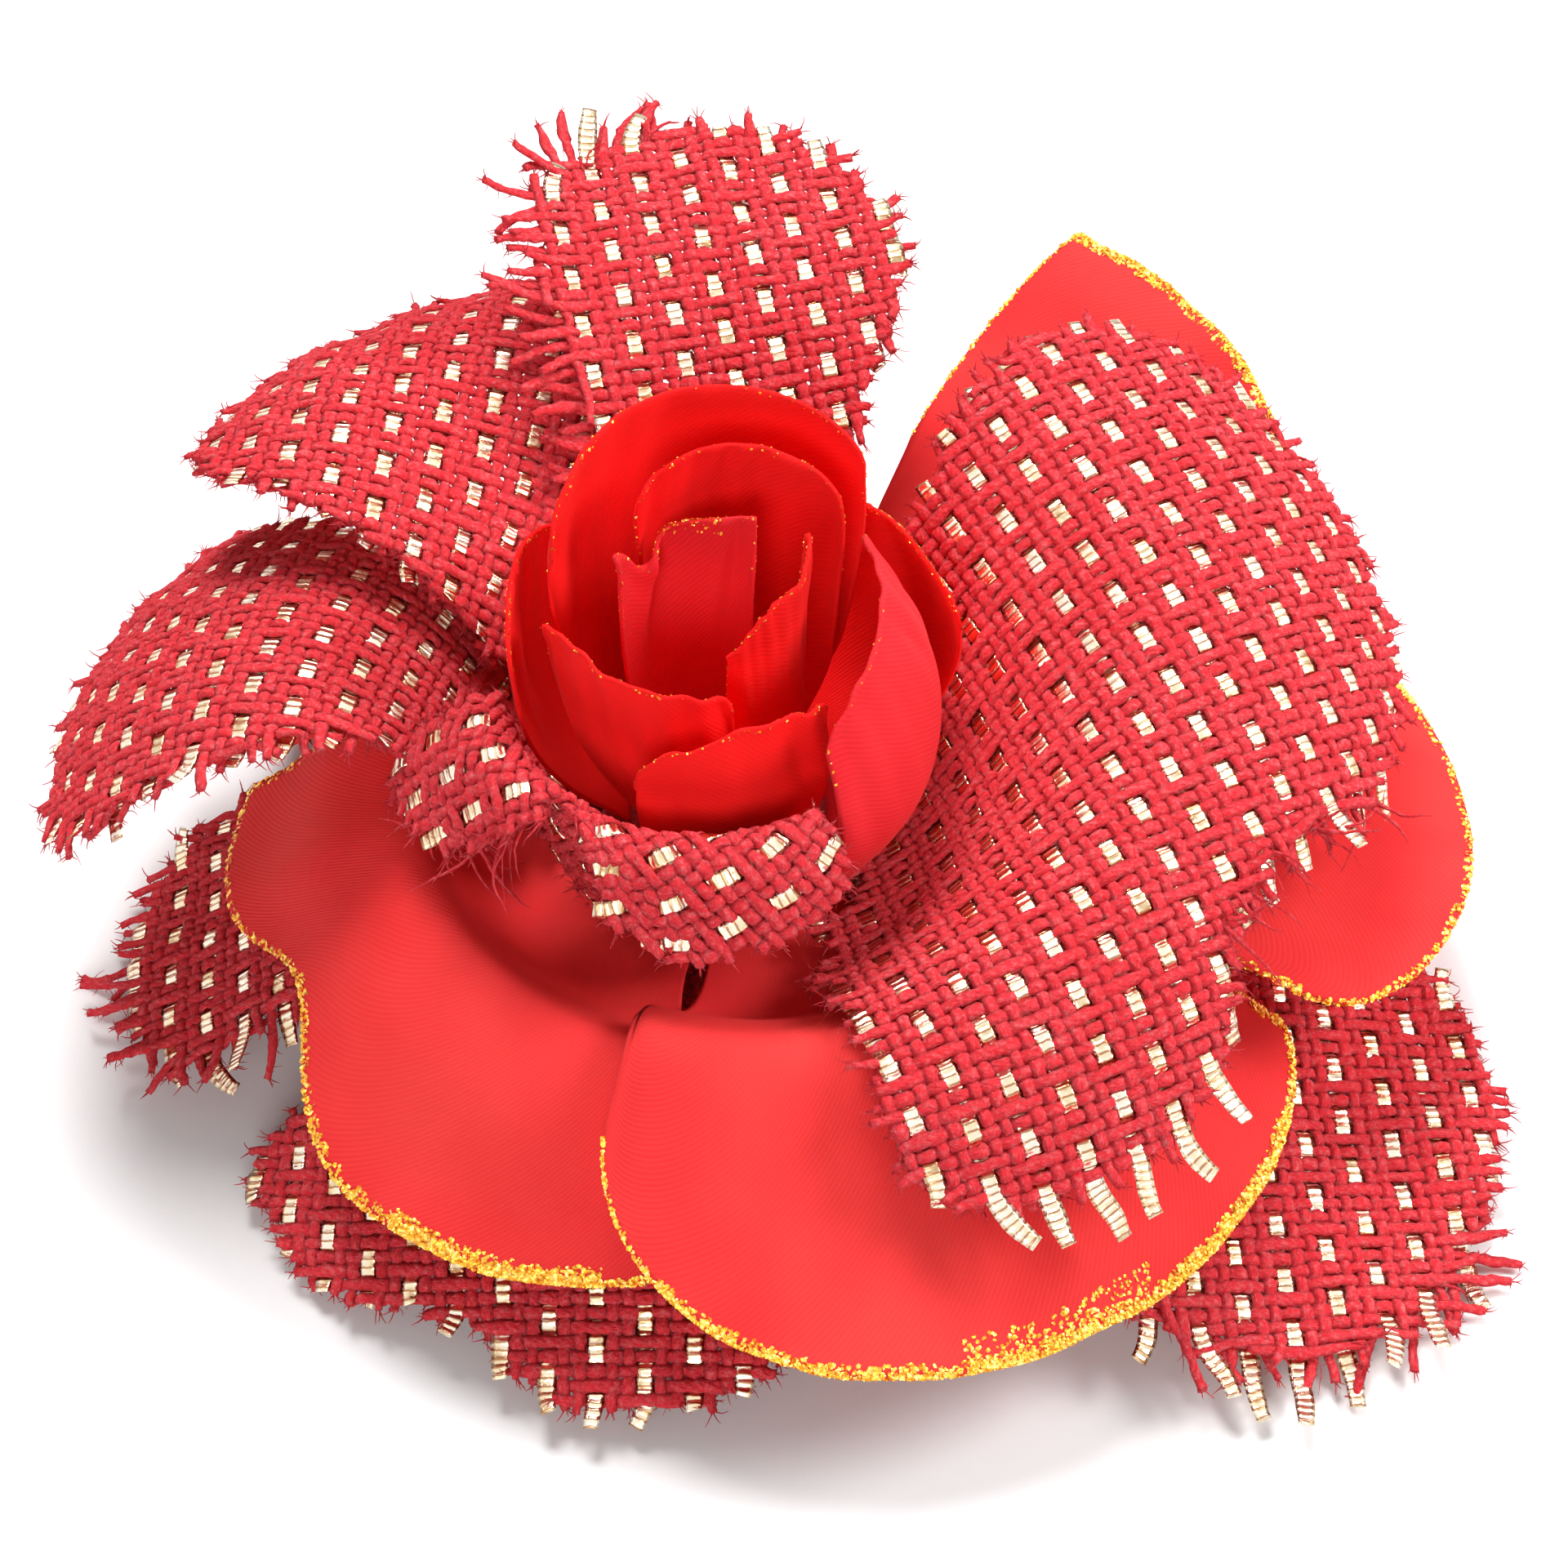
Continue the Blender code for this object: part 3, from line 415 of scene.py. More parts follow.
def satin_material(name, deep, lit):
    """Satin: fine slanting twill lines in the cloth's own coordinates, over a soft mottle."""
    make = Nodes(name)
    twill = make.bands("DIAGONAL", 1.25, 0.5, 1.0, 2.0)
    mottle = make.noise(60.0, 2.0)
    grain = make.noise(2600.0, 2.0)
    colour = make.ramp(mottle, (0.3, deep), (0.7, lit))
    lines = make.mix(0.22, colour, make.ramp(twill, (0.2, deep), (0.8, lit)))
    normal = make.bumps((twill, 0.25, 0.00008), (grain, 0.15, 0.00008))
    return make.finish(Base_Color=lines, Roughness=0.6, Normal=normal, Sheen_Weight=0.06, Sheen_Roughness=0.4,
                       Sheen_Tint=(1.0, 0.35, 0.3, 1.0), Specular_IOR_Level=0.03, Subsurface_Weight=0.12,
                       Subsurface_Radius=(1.0, 0.12, 0.10), Subsurface_Scale=0.0008)


def yarn_material(name, deep, lit, pale):
    """Spun yarn: slanting plies along each yarn, with painted shade in the grooves between them, and a fuzz of
    fibres darker and paler than the yarn.
    """
    make = Nodes(name)
    plies = make.bands("DIAGONAL", 0.75, 3.0, 3.0, 1.5)
    fibres = make.noise(2.4, 5.0, 0.7, make.coordinates("UV", (0.9, 3.2, 1.0)))
    fuzz = make.noise(2300.0, 4.0, 0.65)
    drift = make.noise(140.0, 2.0)
    colour = make.ramp(fibres, (0.28, deep), (0.52, lit), (0.78, pale))
    for tone, factor, first, last in ((pale, fuzz, (0.50, 0.0), (0.72, 0.8)),
                                      (deep, fuzz, (0.28, 0.5), (0.46, 0.0)),
                                      # the deep colour in the low bands of the plies is painted shade in the
                                      # grooves between them
                                      (deep, plies, (0.0, 0.3), (0.5, 0.0)),
                                      (deep, drift, (0.4, 0.0), (0.75, 0.3))):
        colour = make.mix(make.ramp(factor, first, last), colour, (*tone, 1.0))
    normal = make.bumps((plies, 0.6, 0.0002), (fibres, 0.7, 0.0003), (fuzz, 0.9, 0.0004))
    return make.finish(Base_Color=colour, Roughness=0.9, Normal=normal, Sheen_Weight=0.25,
                       Sheen_Roughness=0.5, Sheen_Tint=(1.0, 0.2, 0.22, 1.0), Specular_IOR_Level=0.05,
                       Subsurface_Weight=0.25, Subsurface_Radius=(1.0, 0.15, 0.15), Subsurface_Scale=0.0006)


def lurex_material():
    """Gold metal thread: fine cross lines, pale and darker stretches."""
    make = Nodes("gold_lurex")
    lines = make.bands("X", 0.5, 1.2, 2.0, 3.0)
    drift = make.noise(380.0, 3.0)
    colour = make.ramp(drift, (0.30, (0.62, 0.40, 0.22)), (0.42, (0.98, 0.80, 0.52)),
                       (0.58, (0.98, 0.90, 0.74)))
    colour = make.mix(make.ramp(lines, (0.05, 0.85), (0.3, 0.0)), colour, (0.45, 0.16, 0.05, 1.0))
    normal = make.bumps((lines, 0.6, 0.00012), (drift, 0.3, 0.0003))
    return make.finish(Base_Color=colour, Metallic=1.0, Roughness=0.24, Normal=normal)


def mottled_material(name, scale, detail, bump, *stops, **finish):
    """A material whose colour and bumps follow one noise."""
    make = Nodes(name)
    cloud = make.noise(scale, detail)
    return make.finish(Base_Color=make.ramp(cloud, *stops), Normal=make.bumps((cloud, *bump)), **finish)


def glitter_material():
    return mottled_material("gold_glitter", 2400.0, 2.0, (0.2, 0.0001), (0.3, (0.66, 0.16, 0.004)),
                            (0.5, (0.95, 0.48, 0.04)), (0.7, (1.0, 0.80, 0.22)), Metallic=0.75, Roughness=0.3)


def glue_material():
    return mottled_material("cloudy_glue", 260.0, 4.0, (0.35, 0.0008), (0.3, (0.60, 0.54, 0.40)),
                            (0.7, (0.80, 0.76, 0.64)), Roughness=0.28, Subsurface_Weight=0.4,
                            Subsurface_Radius=(0.002, 0.0015, 0.001), Subsurface_Scale=1.0)


def steel_material(name, colour, scale, roughness):
    """Plated steel: fine drawn lines and faint handling marks."""
    make = Nodes(name)
    drawn = make.noise(900.0, 5.0, 0.6, make.coordinates("Object", scale))
    marks = make.noise(140.0, 4.0, 0.6)
    tone = make.ramp(marks, (0.3, tuple(0.8 * part for part in colour)), (0.6, colour))
    rough = make.ramp(drawn, (0.3, roughness * 0.75), (0.7, roughness * 1.3))
    normal = make.bumps((drawn, 0.12, 0.0001))
    return make.finish(Base_Color=tone, Metallic=1.0, Roughness=rough, Normal=normal)


def felt_material():
    make = Nodes("red_felt_fibres")
    fibres = make.noise(900.0, 8.0, 0.75)
    clumps = make.noise(220.0, 3.0)
    colour = make.ramp(fibres, (0.3, (0.26, 0.004, 0.010)), (0.55, (0.50, 0.012, 0.020)),
                       (0.8, (0.66, 0.05, 0.055)))
    normal = make.bumps((fibres, 0.8, 0.0004), (clumps, 0.4, 0.0008))
    return make.finish(Base_Color=colour, Roughness=0.95, Normal=normal, Sheen_Weight=0.6,
                       Sheen_Roughness=0.6, Sheen_Tint=(1.0, 0.4, 0.4, 1.0), Specular_IOR_Level=0.15)


# Meshes

def put(name, data):
    """A new object in the scene."""
    thing = bpy.data.objects.new(name, data)
    bpy.context.scene.collection.objects.link(thing)
    return thing


def cells(grid):
    """The corners of each cell in a grid of point numbers."""
    return np.stack([grid[:-1, :-1], grid[:-1, 1:], grid[1:, 1:], grid[1:, :-1]], axis=2).reshape(-1, 4)


class Builder:
    """Gathers tubes and flakes for one mesh; lengths in millimetres from the rose's axis."""

    def __init__(self):
        self.vertices = []
        self.faces = []
        self.spots = []
        self.count = 0

    def tube(self, path, normals, half_width, half_thickness, sides=YARN_SIDES, start=0.0, rough=None):
        """A flattened tube along path. half_width and half_thickness hold a value for each of its points."""
        path = np.array(path, float)
        path[:, 2] = np.maximum(path[:, 2], FLOOR_CLEARANCE)
        steps = len(path)
        tangents = np.gradient(path, axis=0)
        tangents /= np.maximum(np.linalg.norm(tangents, axis=1, keepdims=True), TINY)
        asides = np.cross(tangents, np.asarray(normals, float))
        asides /= np.maximum(np.linalg.norm(asides, axis=1, keepdims=True), TINY)
        ups = np.cross(asides, tangents)
        turns = 2 * math.pi * np.arange(sides) / sides
        lumps = np.ones((steps, sides))
        if rough:
            lumps += np.array([[rough.uniform(-0.2, 0.2) for _ in range(sides)] for _ in range(steps)])
        rings = (path[:, None, :]
                 + (np.asarray(half_width)[:, None] * np.cos(turns) * lumps)[..., None] * asides[:, None, :]
                 + (np.asarray(half_thickness)[:, None] * np.sin(turns) * lumps)[..., None] * ups[:, None, :])
        self.vertices.append(rings.reshape(-1, 3))
        lengths = start + np.concatenate([[0.0], np.cumsum(np.linalg.norm(np.diff(path, axis=0), axis=1))])
        around = np.arange(sides) / sides * 4.0
        self.spots.append(np.stack([np.repeat(lengths, sides), np.tile(around, steps)], axis=1))
        grid = self.count + np.arange(steps * sides).reshape(steps, sides)
        walls = cells(np.append(grid, grid[:, :1], axis=1))
        self.faces += [*walls.tolist(), grid[0, ::-1].tolist(), grid[-1].tolist()]
        self.count += steps * sides

    def flake(self, middle, normal, radius, thickness, turn, sides=5):
        """A small closed flake: a flat ring of points with a point above and one below."""
        normal = normal.normalized()
        first = normal.orthogonal().normalized()
        second = normal.cross(first)
        angles = [turn + 2 * math.pi * side / sides for side in range(sides)]
        points = [middle + first * (radius * math.cos(angle)) + second * (radius * math.sin(angle))
                  for angle in angles]
        points += [middle + normal * thickness, middle - normal * thickness]
        low = self.count
        for side in range(sides):
            following = (side + 1) % sides
            self.faces.append((low + side, low + following, low + sides))
            self.faces.append((low + following, low + side, low + sides + 1))
        self.vertices.append(np.array([tuple(point) for point in points]))
        self.spots.append(np.zeros((sides + 2, 2)))
        self.count += sides + 2

    def make(self, name, material, smooth=True):
        vertices = np.concatenate(self.vertices) + np.array([AXIS[0], AXIS[1], 0.0])
        spots = np.concatenate(self.spots)
        mesh = bpy.data.meshes.new(name)
        mesh.from_pydata((vertices * MM).tolist(), [], self.faces)
        mesh.polygons.foreach_set("use_smooth", [smooth] * len(mesh.polygons))
        corners = np.empty(len(mesh.loops), dtype=np.int32)
        mesh.loops.foreach_get("vertex_index", corners)
        layer = mesh.uv_layers.new(name="cloth")
        layer.data.foreach_set("uv", spots[corners].astype(np.float32).ravel())
        mesh.materials.append(material)
        mesh.update()
        return put(name, mesh)


def settle(piece, node):
    """Let a piece ride on the rose and stand for a node, whose CAD part it hides."""
    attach(piece, ROSE)
    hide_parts(node)


def astray(chance, reach):
    """A random vector, each part between -reach and reach."""
    return Vector([chance.uniform(-reach, reach) for _ in range(3)])


def wave(seed, *shape):
    """A smooth random function of one or two numbers, between about -1 and 1."""
    chance = random.Random(seed)
    terms = [(chance.uniform(0.6, 1.0) / (1 + 0.35 * k),
              [chance.uniform(0.7, 1.3) * (k + 1) * rate for rate in shape],
              chance.uniform(0, 2 * math.pi)) for k in range(4)]
    total = sum(term[0] for term in terms)

    def value(*place):
        return sum(size * math.sin(sum(f * p for f, p in zip(rates, place)) + phase)
                   for size, rates, phase in terms) / total

    return value


# Woven petals

class Sheet:
    """A petal's surface, carried on past its edges, that answers where a point lies on it."""

    ROWS = 56
    COLUMNS = 72
    START = 0.14
    PAST = 1.22
    FRINGED = 1.08  # the cut with its fringe

    def __init__(self, petal, base_z, opened, seed):
        point_at = self.point_at = petal_surface(petal, base_z, TONGUE, opened)
        ripple = wave(seed, 5.0, 4.0)
        reach = self.PAST - self.START
        self.alongs = [self.START + reach * row / self.ROWS for row in range(self.ROWS + 1)]
        self.acrosses = [self.PAST * (2 * column / self.COLUMNS - 1) for column in range(self.COLUMNS + 1)]
        self.points = []
        for along in self.alongs:
            for across in self.acrosses:
                point = Vector(point_at(along, across))
                growth = smoothstep((along - 0.5) / 0.5)
                point.z += RIPPLE * growth * ripple(along, across)
                self.points.append(point)
        grid = np.arange(len(self.points)).reshape(self.ROWS + 1, self.COLUMNS + 1)
        self.faces = cells(grid).tolist()
        self.tree = BVHTree.FromPolygons(self.points, self.faces)

    def nearest(self, guess):
        """The nearest point, its upward normal, its place (along, across) and how far off guess was."""
        point, normal, index, gap = self.tree.find_nearest(guess)
        a, b, _, d = (self.points[corner] for corner in self.faces[index])
        row, column = divmod(index, self.COLUMNS)
        place = []
        for ticks, index, side in ((self.alongs, row, d - a), (self.acrosses, column, b - a)):
            share = min(max((point - a).dot(side) / max(side.length_squared, TINY), 0), 1)
            place.append(ticks[index] + (ticks[1] - ticks[0]) * share)
        return point, normal, place, gap

    def area(self):
        total = 0.0
        for index, face in enumerate(self.faces):
            row, column = divmod(index, self.COLUMNS)
            if self.alongs[row] <= self.FRINGED and abs(self.acrosses[column]) <= self.FRINGED:
                a, b, c, d = (self.points[corner] for corner in face)
                total += (c - a).cross(d - b).length / 2
        return total


def walk(sheet, start, heading, pitch, count):
    """Points laid pitch apart from start, straight on over the sheet."""
    line = [sheet.nearest(start)]
    point, normal = line[0][0], line[0][1]
    for _ in range(count):
        heading = (heading - normal * heading.dot(normal)).normalized()
        found = sheet.nearest(point + heading * pitch)
        step = found[0] - point
        if found[3] > OFF_SHEET or step.length < 0.35 * pitch:
            break
        heading = step.normalized()
        point, normal = found[0], found[1]
        line.append(found)
    return line


def crossing(sheet, corner, first, second, first_pitch, second_pitch):
    """The next crossing of the net, first_pitch from first and second_pitch from second."""
    guess = first + second - corner
    for _ in range(4):
        found = sheet.nearest(guess)
        if found[3] > LOST:
            return None
        guess = found[0].copy()
        for other, pitch in ((first, first_pitch), (second, second_pitch)):
            gap = guess - other
            if gap.length < 1e-6:
                return None
            guess += gap.normalized() * (0.5 * (pitch - gap.length))
    found = sheet.nearest(guess)
    a = found[0] - first
    b = found[0] - second
    if min(a.length, b.length) < LEAST_MESH or abs(a.normalized().dot(b.normalized())) > MOST_SKEW:
        return None
    return found


def weave_net(sheet, warp_angle):
    """The crossings of warp and weft over the sheet, its yarns not stretched: {(warp, weft): place}."""
    middle = sheet.nearest(sheet.points[int(0.5 * sheet.ROWS) * (sheet.COLUMNS + 1) + sheet.COLUMNS // 2])
    turn = math.radians(warp_angle)
    heading = Vector((math.cos(turn), math.sin(turn), 0.0))
    heading = (heading - middle[1] * heading.dot(middle[1])).normalized()
    across = middle[1].cross(heading)
    net = {}
    for sign in (1, -1):
        for step, found in enumerate(walk(sheet, middle[0], heading * sign, WEFT_PITCH, NET_REACH)):
            net[(0, sign * step)] = found
        for step, found in enumerate(walk(sheet, middle[0], across * sign, WARP_PITCH, NET_REACH)):
            net[(sign * step, 0)] = found
    counts = range(1, NET_REACH)
    for side, way, step, row in itertools.product((1, -1), (1, -1), counts, counts):
        corner = net.get((side * (step - 1), way * (row - 1)))
        first = net.get((side * step, way * (row - 1)))
        second = net.get((side * (step - 1), way * row))
        if not (corner and first and second):
            continue
        found = crossing(sheet, corner[0], first[0], second[0], WEFT_PITCH, WARP_PITCH)
        if found:
            net[(side * step, way * row)] = found
    return net


def runs_of(net, fixed, is_warp):
    """The stretches of one yarn that lie inside the petal's outline, as lists of (crossing key, place)."""

    def inside(key):
        along, across = net[key][2] if key in net else (0.0, 0.0)
        return CUT_START < along <= 1.0 and abs(across) <= 1.0

    steps = range(-NET_REACH, NET_REACH + 1)
    keys = [(fixed, step) if is_warp else (step, fixed) for step in steps]
    runs = [[(key, net[key]) for key in group] for kept, group in itertools.groupby(keys, inside) if kept]
    return [run for run in runs if len(run) > 1]


def over(warp, weft):
    """1 where a warp yarn lies over a weft yarn, else -1: gold goes over two and under two, red by turns."""
    if warp % GOLD_EVERY == 0:
        return 1 if (weft + 2 * (warp // GOLD_EVERY)) % 4 < 2 else -1
    return 1 if (warp + weft) % 2 == 0 else -1


def yarn_path(run, is_warp, chance, ends, rise):
    """A yarn's path over and under the yarns it crosses, with loose ends of the given lengths: its points,
    each with its normal and how far the yarn is drawn in, as a red one is where it crosses over gold."""
    path = []
    grip_before = 0.0
    side_before = 0
    for index, (key, found) in enumerate(run):
        side = over(*key) if is_warp else -over(*key)
        grip = 1.0 if not is_warp and side > 0 and key[0] % GOLD_EVERY == 0 else 0.0
        if index:
            before, above = run[index - 1][1][:2]
            for step in range(1, STEPS_A_CROSSING):
                share = step / STEPS_A_CROSSING
                normal = above.lerp(found[1], share).normalized()
                middle, half = (side + side_before) / 2, (side - side_before) / 2
                swing = CRIMP * (middle - half * squared(math.cos(math.pi * share)))
                point = before.lerp(found[0], share) + normal * (swing + rise)
                path.append((point, normal, grip_before + (grip - grip_before) * share))
        path.append((found[0] + found[1] * (side * CRIMP + rise), found[1], grip))
        grip_before = grip
        side_before = side
    path = loosen(path[::-1], ends[0], chance)[::-1]
    return loosen(path, ends[1], chance)


def squared(value):
    """The same sign, nearer to 1: a yarn stays up over a crossing and dips quickly between."""
    return math.copysign(abs(value) ** 0.6, value)


def loosen(path, length, chance):
    """Carry the end of a yarn on past the cloth, drooping and wandering a little."""
    point, normal, _ = path[-1]
    heading = (point - path[-min(6, len(path))][0]).normalized()
    aside = heading.cross(normal)
    bend = chance.uniform(-0.5, 0.5)
    droop = chance.uniform(-0.35, 0.15)
    count = max(3, int(length / 0.45))
    for _ in range(count):
        wander = aside * chance.uniform(-0.16, 0.16) + normal * chance.uniform(-0.08, 0.08)
        heading = (heading + aside * (bend / count) + normal * (droop / count) + wander).normalized()
        point = point + heading * (length / count)
        path.append((point, normal, END_GRIP))
    return path


def end_length(cut, place, golden, chance):
    """How far a yarn that ends near place sticks out of the petal."""
    for stretches, least in ((cut.ribbons if golden else (), 0.7), (cut.fringe, 0.35)):
        for low, high, length in stretches:
            if low <= place[1] <= high:
                return length * chance.uniform(least, 1.0)
    return cut.fray * chance.uniform(0.2, 1.4)


def uneven(count, chance, size, amount):
    """A yarn's half width at each of its points, thick and thin by turns, a little thinner at its ends."""
    phase = chance.uniform(0, 6.28)
    rate = chance.uniform(0.3, 0.6)
    widths = []
    for step in range(count):
        nearness = min(step, count - 1 - step)
        fade = 0.78 + 0.22 * smoothstep(nearness / 5)
        swell = amount * math.sin(rate * step + phase)
        widths.append(size * fade * (1 + swell + amount * chance.uniform(-0.5, 0.5)))
    return widths


def fibre(builder, start, heading, normal, length, thickness, chance):
    """One loose fibre, curling as it goes."""
    path = [start]
    bend = astray(chance, 1)
    for _ in range(FIBRE_STEPS):
        heading = (heading + bend * 0.4).normalized()
        path.append(path[-1] + heading * (length / FIBRE_STEPS))
    sizes = [thickness, thickness, thickness * 0.8, thickness * 0.4]
    builder.tube(path, [normal] * len(path), sizes, sizes, sides=3)


def woven_petal(petal, base_z, materials, seed):
    """A woven petal: red weft, gold and red warp, frayed edges and loose fibres."""
    chance = random.Random(seed)
    cut = petal.cut
    sheet = Sheet(petal, base_z, RING_OPENED, seed)
    net = weave_net(sheet, cut.warp)
    weft, warp, gold = Builder(), Builder(), Builder()
    for is_warp, fixed in itertools.product((True, False), range(-NET_REACH, NET_REACH + 1)):
        red = warp if is_warp else weft
        golden = is_warp and fixed % GOLD_EVERY == 0
        for run in runs_of(net, fixed, is_warp):
            ends = [end_length(cut, run[end][1][2], golden, chance) for end in (0, -1)]
            rise = LUREX_RISE if golden else 0.0
            path, normals, drawn = zip(*yarn_path(run, is_warp, chance, ends, rise))
            if golden:
                widths = uneven(len(path), chance, LUREX_WIDTH / 2, LUREX_UNEVEN)
                thick = [LUREX_THICKNESS / 2] * len(path)
                gold.tube(path, normals, widths, thick, start=chance.uniform(0, 9))
                continue
            widths = uneven(len(path), chance, YARN_WIDTH / 2, YARN_UNEVEN)
            widths = [width * (1 - DRAWN_IN * share) for width, share in zip(widths, drawn)]
            thick = [YARN_THICKNESS / 2 * (1 - 0.5 * DRAWN_IN * share) for share in drawn]
            red.tube(path, normals, widths, thick, start=chance.uniform(0, 9), rough=chance)
            add_fuzz(warp, path, normals, chance)
    for low, high, count, length in cut.wisps:
        for _ in range(count):
            across = chance.uniform(low, high)
            start = Vector(sheet.point_at(1.0, across))
            outward = (start - Vector(sheet.point_at(0.9, across))).normalized()
            wisp(warp, start - outward * 0.8, outward, length * chance.uniform(0.5, 1.0), chance)
    finish_woven(petal, sheet, weft, warp, gold, materials)


def wisp(builder, start, heading, length, chance):
    """A loose strand that hangs and curls at a torn edge."""
    path = [start]
    heading = heading + astray(chance, 0.7)
    bend = astray(chance, 1)
    for _ in range(WISP_STEPS):
        wander = astray(chance, 0.35)
        heading = (heading + bend * 0.18 + wander + Vector((0, 0, -0.08))).normalized()
        path.append(path[-1] + heading * (length / WISP_STEPS))
    thickness = chance.uniform(0.07, 0.2)
    sizes = [thickness * (1 - 0.8 * (step / WISP_STEPS) ** 2) for step in range(WISP_STEPS + 1)]
    builder.tube(path, [heading.orthogonal()] * len(path), sizes, sizes, sides=4, rough=chance)


def add_fuzz(fuzz, path, normals, chance):
    """Loose fibres along a red yarn, and a small brush of them at each of its ends."""
    for index in range(1, len(path) - 1):
        if chance.random() < FIBRE_CHANCE:
            along = (path[index + 1] - path[index - 1]).normalized()
            aside = along.cross(normals[index])
            heading = along * chance.uniform(-1, 1) + aside * chance.uniform(-0.8, 0.8) + normals[index] * 0.5
            start = path[index] + normals[index] * (0.3 * YARN_THICKNESS) + aside * chance.uniform(-0.4, 0.4)
            fibre(fuzz, start, heading.normalized(), normals[index], chance.uniform(0.4, 1.4), 0.04, chance)
    for end, inner in ((0, 1), (-1, -2)):
        heading = (path[end] - path[inner]).normalized()
        for _ in range(4):
            lean = astray(chance, 0.6)
            fibre(fuzz, path[end] - heading * 0.3, (heading + lean).normalized(), normals[end],
                  chance.uniform(0.6, 1.5), 0.06, chance)


def finish_woven(petal, sheet, weft, warp, gold, materials):
    """Make the petal's pieces: weft, red warp with the loose fibres, and gold warp."""
    across = weft.make(petal.name + "_weft", materials["red_yarn"])
    along = warp.make(petal.name + "_warp", materials["red_yarn"])
    lurex = gold.make(petal.name + "_lurex", materials["lurex"])
    for piece in (across, along, lurex):
        settle(piece, petal.name)
    area = sheet.area() * MM * MM
    length = sum((Vector(b) - Vector(a)).length for a, b in zip(petal.profile, petal.profile[1:])) * MM


# Satin petals

def closed_cloth(name, points, spots, thickness, material):
    """A thin closed sheet round a grid of points; spots are the cloth's own flat coordinates."""
    points = np.asarray(points, float)
    rows, columns = points.shape[:2]
    normals = np.cross(np.gradient(points, axis=0), np.gradient(points, axis=1))
    normals /= np.maximum(np.linalg.norm(normals, axis=2, keepdims=True), TINY)
    builder = Builder()
    half = normals * (thickness / 2)
    builder.vertices += [(points - half).reshape(-1, 3), (points + half).reshape(-1, 3)]
    flat = np.asarray(spots, float).reshape(-1, 2)
    builder.spots += [flat, flat]
    below = rows * columns
    grid = np.arange(below).reshape(rows, columns)
    faces = cells(grid)
    builder.faces += np.stack([faces, below + faces[:, ::-1]], axis=1).reshape(-1, 4).tolist()
    rim = np.concatenate([grid[0], grid[1:, -1], grid[-1, -2::-1], grid[-2:0:-1, 0]]).tolist()
    for here, there in zip(rim, rim[1:] + rim[:1]):
        builder.faces.append((there, here, below + here, below + there))
    area = 0.0
    for near, far in zip(points, points[1:]):
        area += float(np.linalg.norm(np.cross(far[1:] - near[:-1], far[:-1] - near[1:]), axis=1).sum()) / 2
    return builder.make(name, material), area * MM * MM


def satin_surface(petal, base_z, tongue, opened, seed):
    """The petal's surface with soft folds running out from its tongue and a curling edge."""
    point_at = petal_surface(petal, base_z, tongue, opened)
    folds = wave(seed, 2.2, 5.5)
    curl = wave(seed + 1, 1.9)
    side_curl = wave(seed + 2, 2.0)
    crumple = wave(seed + 3, 2.6, 1.2)

    def finer(along, across):
        point = Vector(point_at(along, across))
        growth = smoothstep((along - 0.35) / 0.5)
        away = Vector((point.x, point.y, 0.0)).normalized()
        lift = FOLD * growth * folds(along, across)
        lift += petal.crease * growth * (0.4 - abs(crumple(along + 0.3 * across, across - 0.6 * along)))
        lift += EDGE_CURL * curl(across) * smoothstep((along - CURL_FROM) / CURL_WIDTH) ** 2
        beside = smoothstep((abs(across) - CURL_FROM) / CURL_WIDTH) ** 2
        lift += SIDE_CURL * side_curl(along) * beside * growth
        rise = point_at(min(along + 0.02, 1.0), across)[2] - point_at(along - 0.02, across)[2]
        steep = min(1.0, max(0.0, rise / (0.04 * petal.profile[-1][0] + 0.5)))
        point += Vector((0, 0, lift * (1 - steep))) - away * (0.6 * lift * steep)
        return point

    return finer


def satin_petal(petal, base_z, tongue, opened, material, seed):
    """A satin petal's piece, with its area, its surface and its length."""
    columns = max(48, round(petal.spread * 1.7))
    finer = satin_surface(petal, base_z, tongue, opened, seed)
    length = spline(petal.profile)[1][-1]
    reach = math.radians(petal.spread) * max(radius for radius, _ in petal.profile)
    acrosses = [2 * column / columns - 1 for column in range(columns + 1)]
    points, spots = [], []
    for row in range(SATIN_ROWS + 1):
        along = row / SATIN_ROWS
        points.append([tuple(finer(along, across)) for across in acrosses])
        spots.append([(along * length, reach * across) for across in acrosses])
    piece, area = closed_cloth(petal.name + "_satin", points, spots, SATIN_THICKNESS, material)
    settle(piece, petal.name)
    return piece, area, finer, length


def outline_place(place):
    """Along and across of a place on the outer edge: -1 to 1 is its tip's edge, further out are its sides."""
    if abs(place) <= 1:
        return 1.0, place
    return 1.0 - (abs(place) - 1) * SIDE_SHARE, math.copysign(1.0, place)


